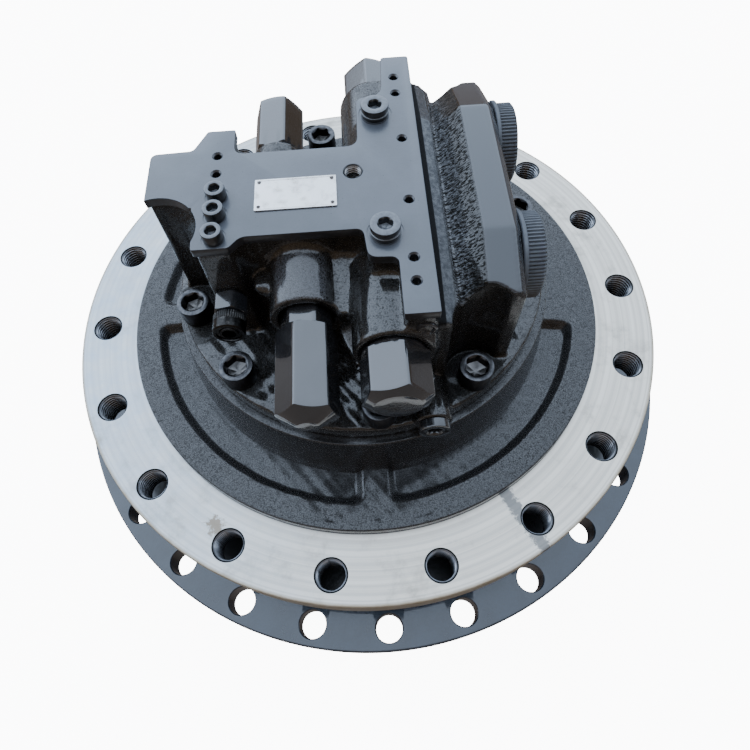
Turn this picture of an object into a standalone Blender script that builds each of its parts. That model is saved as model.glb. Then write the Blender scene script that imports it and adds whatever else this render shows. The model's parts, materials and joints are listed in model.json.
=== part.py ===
"""Excavator final drive: a hydraulic travel motor on a two-stage planetary hub.

The drive stands on its end cover with the motor up, its axis on +Z. The motor case is
a spindle with a round flange that bolts to the track frame, and the hub turns round it on
two roller bearings. The sprocket bolts to the hub's wide flange. Inside, the motor shaft
turns the first sun gear, the first carrier turns the second sun gear, and the second
carrier is held by the spindle, so the ring gear drives the hub.

Sizes are in metres.
"""

import math

import bmesh
import bpy
from mathutils import Matrix, Vector

# Clearances
SEAT_GAP = 0.0003
RUN_GAP = 0.0008
GEAR_BACKLASH = 0.0006

# Facets round a turned piece
RING_FACETS = 36
SMALL_FACETS = 18
HEAD_FACETS = 12
PISTON_FACETS = 8
HOLE_FACETS = 10

# End cover, standing on the floor
FOOT_RAISE = 0.014
FOOT_RADIUS = 0.186
FOOT_EASE = 0.004
DISH_SLOPE = 0.006
PAD_SLOPE = 0.004
COVER_RIM = 0.016
COVER_BOLT_COUNT = 18
COVER_BOLT_CIRCLE = 0.430
BOLT_HEAD_ACROSS = 0.024
BOLT_HEAD_HIGH = 0.010
OIL_PLUG_REACH = 0.150
OIL_PLUG_SOCKET = 0.014
OIL_PLUG_SOCKET_DEEP = 0.007
OIL_PLUG_ANGLES = (math.radians(90), math.radians(225))
THRUST_PAD_DIA = 0.040

# Ring gear and hub
GEARBOX_DIA = 0.470
RING_GEAR_LONG = 0.137
HUB_SKIRT = 0.064
SPROCKET_FLANGE_DIA = 0.555
SPROCKET_FLANGE_THICK = 0.022
SPROCKET_BOLT_INSET = 0.0175
SPROCKET_BOLT_CIRCLE = SPROCKET_FLANGE_DIA - 2 * SPROCKET_BOLT_INSET
SPROCKET_HOLE_DIA = 0.022
SPROCKET_HOLE_COUNT = 26
SPROCKET_HOLE_START = math.radians(256.7)
HUB_NECK_DIA = 0.400
HUB_NECK_HIGH = 0.036
HUB_NECK_EASE = 0.012
HUB_MOUTH_STEP = 0.006
HUB_FLANGE_EASE = 0.004
SPROCKET_EDGE_EASE = 0.002
SEAL_SEAT_STEP = 0.002

# Gears: both stages run inside one ring gear
GEAR_MODULE = 0.007
GEAR_ADDENDUM = 0.8
GEAR_DEDENDUM = 1.1
GEAR_PRESSURE_ANGLE = math.radians(25.0)
SUN_1_TEETH = 8
PLANET_1_TEETH = 22
PLANET_1_COUNT = 3
SUN_2_TEETH = 14
PLANET_2_TEETH = 19
PLANET_2_COUNT = 3
RING_TEETH = SUN_1_TEETH + 2 * PLANET_1_TEETH
GEAR_1_WIDE = 0.032
GEAR_2_WIDE = 0.054
CARRIER_1_PLATE = 0.016
CARRIER_1_PLATE_DIA = 0.272
CARRIER_1_WAIST = 0.050
CARRIER_2_FRONT_PLATE = 0.010
CARRIER_2_BACK_PLATE = 0.016
CARRIER_2_DIA = 0.344
CARRIER_POST_DIA = 0.038
CARRIER_POST_REACH = 0.150
PIN_1_DIA = 0.044
PIN_2_DIA = 0.056
PIN_FACETS = 12
STAGE_GAP = 0.002

# Main bearings and face seal
MAIN_BEARING_BORE = 0.260
MAIN_BEARING_DIA = 0.340
MAIN_BEARING_WIDE = 0.028
MAIN_BEARING_SPACING = 0.056
RACE_THICK = 0.012
RACE_TAPER = 0.004
ROLLER_COUNT = 16
CAGE_THICK = 0.003
SPINDLE_NOSE_DIA = 0.120
SPINDLE_THREAD_DIA = 0.236
NUT_DIA = 0.300
NUT_THICK = 0.012
SEAL_RING_HIGH = 0.009
SEAL_BAND = 0.016
SEAL_BORE_DIA = 0.300
SEAL_LAND_STEP = 0.006

# Frame flange and motor case
FRAME_ABOVE_SPROCKET = 0.078
FRAME_FLANGE_DIA = 0.500
FRAME_FLANGE_THICK = 0.030
FRAME_BOLT_INSET = 0.021
FRAME_BOLT_CIRCLE = FRAME_FLANGE_DIA - 2 * FRAME_BOLT_INSET
FRAME_BOLT_COUNT = 18
FRAME_BOLT_START = math.radians(0.9)
FRAME_THREAD_DIA = 0.022
FLANGE_CHAMFER = 0.0015
FLANGE_STEP = 0.006
FLANGE_STEP_EASE = 0.004
SPIGOT_DIA = 0.399
SPIGOT_HIGH = 0.009
POCKET_OUTER_DIA = 0.360
POCKET_DEEP = 0.006
POCKET_RIB = 0.018
POCKET_SPANS = (
    (math.radians(-8.0), math.radians(-90.0)),
    (math.radians(-90.0), math.radians(-180.0)),
    (math.radians(-180.0), math.radians(-270.0)),
    (math.radians(-270.0), math.radians(-318.0)),
)
CASE_FOOT_DIA = 0.3074
CASE_TOP_DIA = 0.296
CASE_HIGH = 0.050
CHAMBER_DIA = 0.190
CHAMBER_FRONT_DIA = 0.176
CHAMBER_DEEP = 0.1756
BRAKE_LEDGE_DEEP = 0.0760
SHAFT_CLEAR = 0.006

# Shaft, cylinder block and brake
SHAFT_DIA = 0.040
SHAFT_MIDDLE_DIA = 0.034
SHAFT_SPLINE_DIA = 0.0254
SHAFT_REAR_DIA = 0.036
FRONT_BEARING_DIA = 0.090
FRONT_BEARING_WIDE = 0.020
REAR_BEARING_DIA = 0.070
REAR_BEARING_WIDE = 0.016
SWASH_DIA = 0.160
SWASH_THICK = 0.027
BLOCK_DIA = 0.120
BLOCK_HIGH = 0.110
PISTON_COUNT = 9
PISTON_CIRCLE = 0.084
PISTON_DIA = 0.020
PISTON_DEEP = 0.080
SHOE_DIA = 0.024
SHOE_HIGH = 0.008
VALVE_PLATE_THICK = 0.006
BRAKE_PLATE = 0.0025
BRAKE_DISC_COUNT = 2
BRAKE_CLEAR = 0.0018
BRAKE_PLATE_BORE = 0.126
BRAKE_DISC_DIA = 0.168
RETAINER_DIA = 0.106
RETAINER_THICK = 0.003
BRAKE_PISTON_HIGH = 0.026
BRAKE_SPRING_THICK = 0.004

# Rear cover casting, heights above the frame flange face
BASE_DISC_DIA = 0.285
BASE_DISC_THICK = 0.014
TOP_PLATE_HIGH = 0.158
ARM_RIGHT = 0.045
ARM_LEFT = 0.024
ARM_REACH = 0.1115
BODY_BACK = 0.023
BODY_FRONT = 0.048
SHOULDER_BACK = 0.044
ARM_ROOT = 0.010
LEFT_BLOCK_LEFT = 0.134
LEFT_BLOCK_RIGHT = 0.078
LEFT_BLOCK_FRONT = 0.056
LEFT_BLOCK_BACK = 0.046
SHOULDER_FRONT = 0.070
SHOULDER_LEFT = 0.006
PORT_BLOCK_LEFT = 0.076
PORT_BLOCK_RIGHT = 0.1005
PORT_BLOCK_FRONT = 0.093
PORT_BLOCK_BACK = 0.104
PORT_BLOCK_FLAT = 0.054
PORT_BLOCK_SLOPE = math.radians(21.0)
PORT_BLOCK_CHAMFER = 0.005
BAND_DROP = 0.006
VALLEY_DROP = 0.017
VALLEY_LEFT = 0.062
VALLEY_RIGHT = 0.066
BAND_RIGHT = 0.057
BAND_SLOPE_DROP = 0.011
BAND_FRONT = 0.108

# Motor bolts: angles round the axis, on one circle
MOTOR_BOLT_INSET = 0.0115
MOTOR_BOLT_CIRCLE = BASE_DISC_DIA - 2 * MOTOR_BOLT_INSET
MOTOR_BOLT_ANGLES = tuple(math.radians(a) for a in (14, 58, 102, 150, 197, 226, 273, 305))
MOTOR_BOLT_DIA = 0.016
MOTOR_BOLT_HEAD_DIA = 0.024
MOTOR_BOLT_HEAD_HIGH = 0.016
MOTOR_BOLT_SOCKET = 0.014
MOTOR_BOLT_SOCKET_DEEP = 0.008
MOTOR_BOLT_LONG = 0.045
BOLT_SCALLOPS = (0, 0.017, 0, 0, 0.0265, 0, 0, 0.0215)

# Valve bosses and hex caps, along Y
SPOOL_X = 0.018
SPOOL_Z = 0.114
SPOOL_BOSS_DIA = 0.052
SPOOL_BOSS_REACH = 0.112
SPOOL_CAP_ACROSS = 0.040
SPOOL_CAP_LONG = 0.036
SPOOL_CAP_TIP_DIA = 0.030
SPOOL_CAP_TURN = math.radians(22.0)
SPOOL_BORE_DIA = 0.028
SPOOL_LONG = 0.160
SPOOL_STROKE = 0.006
RELIEF_FRONT_X = -0.038
RELIEF_FRONT_Z = 0.104
RELIEF_FRONT_BOSS_REACH = 0.076
RELIEF_FRONT_CAP_LONG = 0.077
RELIEF_FRONT_NECK = 0.010
RELIEF_BACK_X = -0.061
RELIEF_BACK_Z = 0.092
RELIEF_BACK_BOSS_REACH = 0.086
RELIEF_BACK_CAP_LONG = 0.060
RELIEF_BOSS_DIA = 0.036
RELIEF_BACK_BOSS_DIA = 0.040
RELIEF_CAP_ACROSS = 0.036
RELIEF_CAP_TIP_DIA = 0.016
RELIEF_CAP_TURN = math.radians(-9.0)
RELIEF_SHANK_DIA = 0.024
CAP_SHANK_LONG = 0.012
CAP_CONE_SLOPE = 0.55
CAP_NECK_SHARE = 0.46
SPOOL_GROOVE_DEEP = 0.004
SPOOL_GROOVE_NEAR = 0.28
SPOOL_GROOVE_FAR = 0.60
SPOOL_GROOVE_EASE = 0.02

# Plugs, fittings, plate and port covers
SCREW_PLACES = (
    (0.033, 0.089), (0.033, 0.072), (0.034, 0.027), (0.034, -0.027), (0.033, -0.072),
    (0.033, -0.089), (-0.089, 0.022), (-0.089, 0.006),
)
SCREW_HOLE_DIA = 0.0065
SCREW_HOLE_DEEP = 0.016
EYE_HOLE_DIA = 0.012
EYE_HOLE_DEEP = 0.024
PILOT_PLUG_PLACES = ((-0.087, -0.014), (-0.087, -0.030), (-0.087, -0.048))
PILOT_PLUG_DIA = 0.013
PASSAGE_PLUG_PLACES = ((0.0175, -0.052), (0.0175, 0.052))
PASSAGE_PLUG_DIA = 0.019
PLUG_PROUD = 0.008
PILOT_PLUG_SOCKET = 0.006
PASSAGE_PLUG_SOCKET = 0.008
PLUG_SOCKET_DEEP = 0.005
PLUG_SHANK_LONG = 0.010
PLUG_SHANK_SHARE = 0.7
SPEED_PLUG_X = -0.0895
SPEED_PLUG_Z = 0.105
SPEED_PLUG_DIA = 0.022
SPEED_UNION_LONG = 0.014
SPEED_PLUG_LONG = 0.0145
SPEED_COLLAR_LAP = 0.0005
SPEED_SOCKET = 0.010
SPEED_SOCKET_DEEP = 0.006
SPEED_UNION_ACROSS = 0.021
SPEED_THREAD_DIA = 0.012
ARM_PLUG_X = 0.0375
ARM_PLUG_Z = 0.138
ARM_PLUG_DIA = 0.0135
ARM_PLUG_SUNK = 0.003
ARM_PLUG_SOCKET = 0.006
ARM_PLUG_SOCKET_DEEP = 0.002
DRAIN_BOSS_X = 0.043
DRAIN_BOSS_Z = 0.0645
DRAIN_BOSS_DIA = 0.026
DRAIN_BOSS_INSET = 0.0015
DRAIN_BOSS_REACH = BASE_DISC_DIA / 2 - DRAIN_BOSS_INSET
DRAIN_BOSS_LONG = 0.040
DRAIN_BOSS_ROOT_DIA = 0.018
DRAIN_PLUG_DIA = 0.022
DRAIN_PLUG_HIGH = 0.006
DRAIN_SOCKET = 0.010
DRAIN_SOCKET_DEEP = 0.005
DRAIN_THREAD_DIA = 0.014
DRAIN_THREAD_LONG = 0.012
NAME_PLATE_LEFT = -0.063
NAME_PLATE_RIGHT = -0.011
NAME_PLATE_FRONT = -0.029
NAME_PLATE_BACK = -0.003
NAME_PLATE_THICK = 0.0008
PORT_PLACES_Y = (-0.051, 0.051)
PORT_Z = 0.125
PORT_DIA = 0.032
PORT_DEEP = 0.030
PORT_COVER_DIA = 0.056
PORT_COVER_FLANGE_DIA = 0.060
PORT_COVER_LONG = 0.015
PORT_COVER_FLANGE = 0.003
PORT_COVER_RIBS = 20
PORT_COVER_RIB_DEEP = 0.0012
PORT_COVER_STUB = 0.014

# Heights worked out from the sizes above
COVER_TOP = FOOT_RAISE + COVER_RIM
RING_GEAR_Z = COVER_TOP + SEAT_GAP
RING_GEAR_TOP = RING_GEAR_Z + RING_GEAR_LONG
HUB_Z = RING_GEAR_TOP + SEAT_GAP
SPROCKET_FLANGE_Z = HUB_Z + HUB_SKIRT
SPROCKET_FACE_Z = SPROCKET_FLANGE_Z + SPROCKET_FLANGE_THICK
FRAME_FACE_Z = SPROCKET_FACE_Z + FRAME_ABOVE_SPROCKET
FRAME_BACK_Z = FRAME_FACE_Z - FRAME_FLANGE_THICK
CASE_TOP_Z = FRAME_FACE_Z + CASE_HIGH
REAR_COVER_Z = CASE_TOP_Z + SEAT_GAP
BASE_DISC_TOP = FRAME_FACE_Z + CASE_HIGH + BASE_DISC_THICK
TOP_PLATE_Z = FRAME_FACE_Z + TOP_PLATE_HIGH
POCKET_FLOOR_Z = FOOT_RAISE
GEAR_1_Z = COVER_TOP + STAGE_GAP
GEAR_1_TOP = GEAR_1_Z + GEAR_1_WIDE
CARRIER_1_Z = GEAR_1_TOP + STAGE_GAP
CARRIER_1_TOP = CARRIER_1_Z + CARRIER_1_PLATE
CARRIER_2_Z = CARRIER_1_TOP + STAGE_GAP
CARRIER_2_FRONT_TOP = CARRIER_2_Z + CARRIER_2_FRONT_PLATE
GEAR_2_Z = CARRIER_2_FRONT_TOP + STAGE_GAP
GEAR_2_TOP = GEAR_2_Z + GEAR_2_WIDE
CARRIER_2_BACK_Z = GEAR_2_TOP + STAGE_GAP
CARRIER_2_TOP = CARRIER_2_BACK_Z + CARRIER_2_BACK_PLATE
SPINDLE_STEP_Z = CARRIER_2_TOP + SEAT_GAP
NUT_Z = SPINDLE_STEP_Z + RUN_GAP
SPINDLE_SHOULDER_Z = NUT_Z + NUT_THICK
LOWER_BEARING_Z = SPINDLE_SHOULDER_Z + SEAT_GAP
UPPER_BEARING_Z = LOWER_BEARING_Z + MAIN_BEARING_SPACING
UPPER_BEARING_TOP = UPPER_BEARING_Z + MAIN_BEARING_WIDE
HUB_TOP_Z = SPROCKET_FACE_Z + HUB_NECK_HIGH
SEAL_TOP_Z = UPPER_BEARING_TOP + RUN_GAP + 2 * SEAL_RING_HIGH + SEAT_GAP
SHAFT_FOOT_Z = GEAR_1_Z - 0.0015
CHAMBER_FLOOR_Z = CASE_TOP_Z - CHAMBER_DEEP
BRAKE_LEDGE_Z = CASE_TOP_Z - BRAKE_LEDGE_DEEP
SWASH_TOP_Z = CHAMBER_FLOOR_Z + SEAT_GAP + SWASH_THICK
BLOCK_TOP_Z = CASE_TOP_Z - VALVE_PLATE_THICK - 2 * SEAT_GAP
BLOCK_Z = BLOCK_TOP_Z - BLOCK_HIGH

# Radii worked out from the sizes above
RING_PITCH_R = RING_TEETH * GEAR_MODULE / 2
SUN_1_PITCH_R = SUN_1_TEETH * GEAR_MODULE / 2
SUN_2_PITCH_R = SUN_2_TEETH * GEAR_MODULE / 2
PLANET_1_PITCH_R = PLANET_1_TEETH * GEAR_MODULE / 2
PLANET_2_PITCH_R = PLANET_2_TEETH * GEAR_MODULE / 2
PLANET_1_ORBIT = SUN_1_PITCH_R + PLANET_1_PITCH_R
PLANET_2_ORBIT = SUN_2_PITCH_R + PLANET_2_PITCH_R
GEAR_TIP = GEAR_ADDENDUM * GEAR_MODULE
GEAR_ROOT = GEAR_DEDENDUM * GEAR_MODULE
COLLAR_R = SUN_2_PITCH_R - GEAR_ROOT - 0.003

UP = Vector((0, 0, 1))
FRONT = Vector((0, -1, 0))
BACK = Vector((0, 1, 0))
RIGHT = Vector((1, 0, 0))


# Materials
def paint(name, colour, roughness, metallic):
    """Return a Principled material of one colour."""
    material = bpy.data.materials.new(name)
    material.use_nodes = True
    shader = material.node_tree.nodes["Principled BSDF"]
    shader.inputs["Base Color"].default_value = (*colour, 1.0)
    shader.inputs["Roughness"].default_value = roughness
    shader.inputs["Metallic"].default_value = metallic
    material.diffuse_color = (*colour, 1.0)
    return material


def black_paint(name):
    return paint(name, (0.014, 0.016, 0.020), 0.30, 0.0)


def blue_grey_paint(name):
    return paint(name, (0.060, 0.075, 0.095), 0.40, 0.0)


def gear_steel(name):
    return paint(name, (0.42, 0.42, 0.43), 0.35, 1.0)


def bearing_steel(name):
    return paint(name, (0.62, 0.62, 0.63), 0.20, 1.0)


def zinc_plate(name):
    return paint(name, (0.48, 0.49, 0.50), 0.32, 1.0)


def bronze(name):
    return paint(name, (0.45, 0.29, 0.12), 0.35, 1.0)


def grey_plastic(name):
    return paint(name, (0.10, 0.12, 0.15), 0.45, 0.0)


# Basic forms, each made along +Z and then laid along a direction
def lay(shape, direction=UP, at=(0, 0, 0), turn=0.0):
    """Turn a shape about +Z, tip +Z to the direction and move it to a point."""
    tip = UP.rotation_difference(Vector(direction)).to_matrix().to_4x4()
    matrix = Matrix.Translation(Vector(at)) @ tip @ Matrix.Rotation(turn, 4, "Z")
    bmesh.ops.transform(shape, matrix=matrix, verts=shape.verts)
    return shape


def turned(outline, facets, ring=True):
    """Spin an (r, z) outline round +Z. A ring's outline is closed; a solid's ends on the axis."""
    shape = bmesh.new()
    corners = [shape.verts.new((r, 0, z)) for r, z in outline]
    pairs = list(zip(corners, corners[1:]))
    if ring:
        pairs.append((corners[-1], corners[0]))
    edges = [shape.edges.new(pair) for pair in pairs]
    bmesh.ops.spin(shape, geom=corners + edges, cent=(0, 0, 0), axis=UP, angle=math.tau,
                   steps=facets, use_merge=True, use_duplicate=False)
    bmesh.ops.remove_doubles(shape, verts=shape.verts, dist=1e-6)
    bmesh.ops.recalc_face_normals(shape, faces=shape.faces)
    return shape


def drum(radius, low, high, facets):
    """A solid cylinder."""
    return turned([(0, low), (radius, low), (radius, high), (0, high)], facets, ring=False)


def tube(inner, outer, low, high, facets):
    """A plain ring."""
    return turned([(inner, low), (outer, low), (outer, high), (inner, high)], facets)


def prism(outline, low, high):
    """Stand a flat (x, y) outline up between two heights."""
    shape = bmesh.new()
    floor = shape.faces.new([shape.verts.new((x, y, low)) for x, y in outline])
    grown = bmesh.ops.extrude_face_region(shape, geom=[floor])
    raised = [item for item in grown["geom"] if isinstance(item, bmesh.types.BMVert)]
    bmesh.ops.translate(shape, vec=(0, 0, high - low), verts=raised)
    bmesh.ops.recalc_face_normals(shape, faces=shape.faces)
    return shape


def hollow_prism(outline, hole, low, high):
    """Stand up an outline that has a hole, both as lists of (x, y) points."""
    shape = bmesh.new()
    edges = []
    for loop in (outline, hole):
        corners = [shape.verts.new((x, y, low)) for x, y in loop]
        edges += [shape.edges.new(pair) for pair in zip(corners, corners[1:] + corners[:1])]
    bmesh.ops.triangle_fill(shape, use_beauty=True, use_dissolve=False, edges=edges)
    grown = bmesh.ops.extrude_face_region(shape, geom=list(shape.faces))
    raised = [item for item in grown["geom"] if isinstance(item, bmesh.types.BMVert)]
    bmesh.ops.translate(shape, vec=(0, 0, high - low), verts=raised)
    bmesh.ops.recalc_face_normals(shape, faces=shape.faces)
    return shape


def loft(loops):
    """Bridge loops of equal point count one after the other and close both ends."""
    shape = bmesh.new()
    rings = [[shape.verts.new(point) for point in loop] for loop in loops]
    shape.faces.new(rings[0])
    shape.faces.new(rings[-1])
    for below, above in zip(rings, rings[1:]):
        for i in range(len(below)):
            j = (i + 1) % len(below)
            shape.faces.new((below[i], below[j], above[j], above[i]))
    bmesh.ops.recalc_face_normals(shape, faces=shape.faces)
    return shape


def circle(radius, count, start=0.0):
    """Points round a circle."""
    return [(radius * math.cos(start + math.tau * i / count),
             radius * math.sin(start + math.tau * i / count)) for i in range(count)]


def polar(radius, angle, height=0.0):
    """A point at an angle round the axis."""
    return Vector((radius * math.cos(angle), radius * math.sin(angle), height))


def hexagon(across_flats):
    """A hexagon's corners, one of them on +X."""
    return circle(across_flats / math.sqrt(3), 6)


def join(shapes):
    """Gather separate shapes in one mesh."""
    whole = bmesh.new()
    for shape in shapes:
        mesh = bpy.data.meshes.new("part")
        shape.to_mesh(mesh)
        shape.free()
        whole.from_mesh(mesh)
        bpy.data.meshes.remove(mesh)
    return whole


def piece(name, shape, material, origin=(0, 0, 0)):
    """Put a shape in the scene as a named object, its origin at a world point."""
    bmesh.ops.translate(shape, vec=-Vector(origin), verts=shape.verts)
    mesh = bpy.data.meshes.new(name)
    shape.to_mesh(mesh)
    shape.free()
    mesh.materials.append(material)
    mesh.shade_smooth()
    mesh.set_sharp_from_angle(angle=math.radians(32.0))
    thing = bpy.data.objects.new(name, mesh)
    thing.location = origin
    bpy.context.scene.collection.objects.link(thing)
    return thing


def tool(name, shape):
    """A hidden shape for a Boolean."""
    thing = piece(name, shape, TOOL_MATERIAL)
    thing.hide_render = True
    thing.display_type = "WIRE"
    return thing


def cut(thing, name, shape, operation="DIFFERENCE"):
    """Cut a shape from an object, or join it with UNION."""
    step = thing.modifiers.new(name, "BOOLEAN")
    step.operation = operation
    step.solver = "EXACT"
    step.object = tool(name, shape)


# Gear teeth
def involute(angle):
    return math.tan(angle) - angle


def tooth_outline(teeth, low_r, high_r, slack, phase):
    """Outline of involute teeth from low_r to high_r.

    The half angle of a tooth is a quarter of a pitch at the pitch circle, narrows outward
    by the involute, and is less by half of slack. With slack below zero the same outline
    is a ring gear's inside, whose spaces are wider than the teeth that run in them.
    """
    pitch_r = teeth * GEAR_MODULE / 2
    base_r = pitch_r * math.cos(GEAR_PRESSURE_ANGLE)
    quarter = math.pi / (2 * teeth) - slack / (2 * pitch_r)
    flank = []
    for radius in (low_r, high_r):
        roll = math.acos(min(1.0, base_r / radius))
        flank.append((radius, quarter + involute(GEAR_PRESSURE_ANGLE) - involute(roll)))
    outline = []
    for i in range(teeth):
        middle = phase + math.tau * i / teeth
        outline += [polar(radius, middle - half).xy for radius, half in flank]
        outline += [polar(radius, middle + half).xy for radius, half in reversed(flank)]
    return [tuple(point) for point in outline]


def gear(teeth, bore, low, high, phase, bore_facets=PIN_FACETS):
    """A gear wheel with a round bore."""
    pitch_r = teeth * GEAR_MODULE / 2
    rim = tooth_outline(teeth, pitch_r - GEAR_ROOT, pitch_r + GEAR_TIP, GEAR_BACKLASH, phase)
    return hollow_prism(rim, circle(bore, bore_facets), low, high)


def planet_phase(angle, planet_teeth):
    """Angle of a planet's tooth that meets the ring gear's space nearest to its place."""
    ring_pitch = math.tau / RING_TEETH
    part_pitch = (angle / ring_pitch) % 1.0
    return angle - part_pitch * math.tau / planet_teeth


# Gearbox
def end_cover():
    """Dished cover. Its raised foot lets the bolt heads on its rim clear the floor."""
    outer = GEARBOX_DIA / 2
    pocket = RING_PITCH_R - GEAR_TIP
    pad = THRUST_PAD_DIA / 2
    pad_top = SHAFT_FOOT_Z - SEAT_GAP
    profile = [
        (0, 0), (FOOT_RADIUS - FOOT_EASE, 0), (FOOT_RADIUS, FOOT_EASE),
        (FOOT_RADIUS + FOOT_EASE, FOOT_RAISE), (outer, FOOT_RAISE), (outer, COVER_TOP),
        (pocket, COVER_TOP), (pocket - DISH_SLOPE, POCKET_FLOOR_Z),
        (pad + PAD_SLOPE, POCKET_FLOOR_Z), (pad, pad_top), (0, pad_top),
    ]
    cover = piece("end_cover", turned(profile, RING_FACETS, ring=False), blue_grey_paint("cover"))
    seat = FOOT_RAISE + 0.001
    heads = [lay(prism(hexagon(BOLT_HEAD_ACROSS), FOOT_RAISE - BOLT_HEAD_HIGH, seat),
                 at=polar(COVER_BOLT_CIRCLE / 2, math.tau * (i + 0.5) / COVER_BOLT_COUNT))
             for i in range(COVER_BOLT_COUNT)]
    cut(cover, "cover_bolt_heads", join(heads), "UNION")
    places = [polar(OIL_PLUG_REACH, angle) for angle in OIL_PLUG_ANGLES]
    sockets = [lay(prism(hexagon(OIL_PLUG_SOCKET), -0.01, OIL_PLUG_SOCKET_DEEP), at=place)
               for place in places]
    cut(cover, "oil_plug_sockets", join(sockets))


def socket_plug(head_dia, head_high, socket_across, socket_deep, shank_dia=0.0, shank_long=0.0):
    """A round head on z = 0 with a hex socket, and a shank below it if it has one."""
    facets = HEAD_FACETS
    head = circle(head_dia / 2, facets)
    levels = []
    if shank_dia > 0:
        levels += [(circle(shank_dia / 2, facets), -shank_long), (circle(shank_dia / 2, facets), 0)]
    socket = hexagon_of(socket_across, facets)
    levels += [(head, 0), (head, head_high), (socket, head_high),
               (socket, head_high - socket_deep)]
    return loft([[(x, y, z) for x, y in loop] for loop, z in levels])


def hexagon_of(across_flats, points):
    """A hexagon drawn with more points, so that it can be bridged to a circle."""
    inner = across_flats / 2
    loop = []
    for i in range(points):
        angle = math.tau * i / points
        from_flat = (angle % (math.tau / 6)) - math.tau / 12
        reach = inner / math.cos(from_flat)
        loop.append((reach * math.cos(angle), reach * math.sin(angle)))
    return loop


def ring_gear():
    """Internal teeth over the length of both stages."""
    inside = tooth_outline(RING_TEETH, RING_PITCH_R - GEAR_TIP, RING_PITCH_R + GEAR_ROOT,
                           -GEAR_BACKLASH, 0.0)
    body = hollow_prism(circle(GEARBOX_DIA / 2, RING_FACETS), inside, RING_GEAR_Z, RING_GEAR_TOP)
    piece("ring_gear", body, blue_grey_paint("ring_gear_paint"))


def hub():
    """Bearing housing with the sprocket flange."""
    body = GEARBOX_DIA / 2
    flange = SPROCKET_FLANGE_DIA / 2
    neck = HUB_NECK_DIA / 2
    seat = MAIN_BEARING_DIA / 2
    shoulder = seat - RACE_THICK
    lower_top = LOWER_BEARING_Z + MAIN_BEARING_WIDE + SEAT_GAP
    upper_low = UPPER_BEARING_Z - SEAT_GAP
    seal = seat + SEAL_SEAT_STEP
    profile = [
        (seat + HUB_MOUTH_STEP, HUB_Z), (body, HUB_Z), (body, SPROCKET_FLANGE_Z - HUB_FLANGE_EASE),
        (body + HUB_FLANGE_EASE, SPROCKET_FLANGE_Z), (flange, SPROCKET_FLANGE_Z),
        (flange, SPROCKET_FACE_Z - SPROCKET_EDGE_EASE),
        (flange - SPROCKET_EDGE_EASE, SPROCKET_FACE_Z), (neck + HUB_NECK_EASE, SPROCKET_FACE_Z),
        (neck, SPROCKET_FACE_Z + HUB_NECK_EASE), (neck, HUB_TOP_Z),
        (seal, HUB_TOP_Z), (seal, UPPER_BEARING_TOP + SEAT_GAP),
        (seat, UPPER_BEARING_TOP + SEAT_GAP), (seat, upper_low), (shoulder, upper_low),
        (shoulder, lower_top), (seat, lower_top), (seat, LOWER_BEARING_Z - 0.001),
    ]
    housing = piece("hub", turned(profile, RING_FACETS), blue_grey_paint("hub_paint"))
    holes = []
    for i in range(SPROCKET_HOLE_COUNT):
        angle = SPROCKET_HOLE_START + math.tau * i / SPROCKET_HOLE_COUNT
        hole = drum(SPROCKET_HOLE_DIA / 2, SPROCKET_FLANGE_Z - 0.01, SPROCKET_FACE_Z + 0.01,
                    HOLE_FACETS)
        holes.append(lay(hole, at=polar(SPROCKET_BOLT_CIRCLE / 2, angle)))
    cut(housing, "sprocket_holes", join(holes))


def sun_gear_1():
    """Small gear splined on the shaft's foot."""
    bore = SHAFT_SPLINE_DIA / 2 + SEAT_GAP
    phase = sun_phase(SUN_1_TEETH, PLANET_1_TEETH)
    body = gear(SUN_1_TEETH, bore, GEAR_1_Z, GEAR_1_TOP, phase, bore_facets=SMALL_FACETS)
    piece("sun_gear_1", body, gear_steel("sun_1_steel"))


def sun_phase(sun_teeth, planet_teeth):
    """Angle of a sun tooth that is in mesh with the planet that lies on +X."""
    part_pitch = (planet_teeth / 2) % 1.0
    return (part_pitch + 0.5) * math.tau / sun_teeth


def clear_of(radius, facets):
    """Corner radius of a faceted bore whose flats stay clear of a round that turns in it."""
    return (radius + SEAT_GAP) / math.cos(math.pi / facets)


def planets(stage, count, teeth, orbit, pin_dia, low, high):
    """Planet gears, each with its origin on its own axis."""
    bore = clear_of(pin_dia / 2, PIN_FACETS)
    for i in range(count):
        angle = math.tau * i / count
        body = gear(teeth, bore, low, high, planet_phase(angle, teeth))
        place = polar(orbit, angle)
        name = "planet_%d_%s" % (stage, "abc"[i])
        piece(name, lay(body, at=place), gear_steel(name + "_steel"), origin=place)


def pins(count, orbit, dia, low, high):
    """Planet pins, each drawn at the outer size of its needle bearing."""
    return join([lay(drum(dia / 2, low, high, PIN_FACETS), at=polar(orbit, math.tau * i / count))
                 for i in range(count)])


def carrier_1():
    """Three-armed plate with its pins; the second sun is splined in its bore."""
    rim = []
    middle = (CARRIER_1_PLATE_DIA / 2 + PLANET_1_ORBIT - CARRIER_1_WAIST) / 2
    swing = CARRIER_1_PLATE_DIA / 2 - middle
    for i in range(RING_FACETS):
        angle = math.tau * i / RING_FACETS
        rim.append(tuple(polar(middle + swing * math.cos(PLANET_1_COUNT * angle), angle).xy))
    inside = circle(COLLAR_R + SEAT_GAP, SMALL_FACETS)
    plate = hollow_prism(rim, inside, CARRIER_1_Z, CARRIER_1_TOP)
    carrier = piece("carrier_1", plate, gear_steel("carrier_1_steel"))
    cut(carrier, "pins_1", pins(PLANET_1_COUNT, PLANET_1_ORBIT, PIN_1_DIA, GEAR_1_Z,
                                CARRIER_1_Z + 0.002), "UNION")


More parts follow.
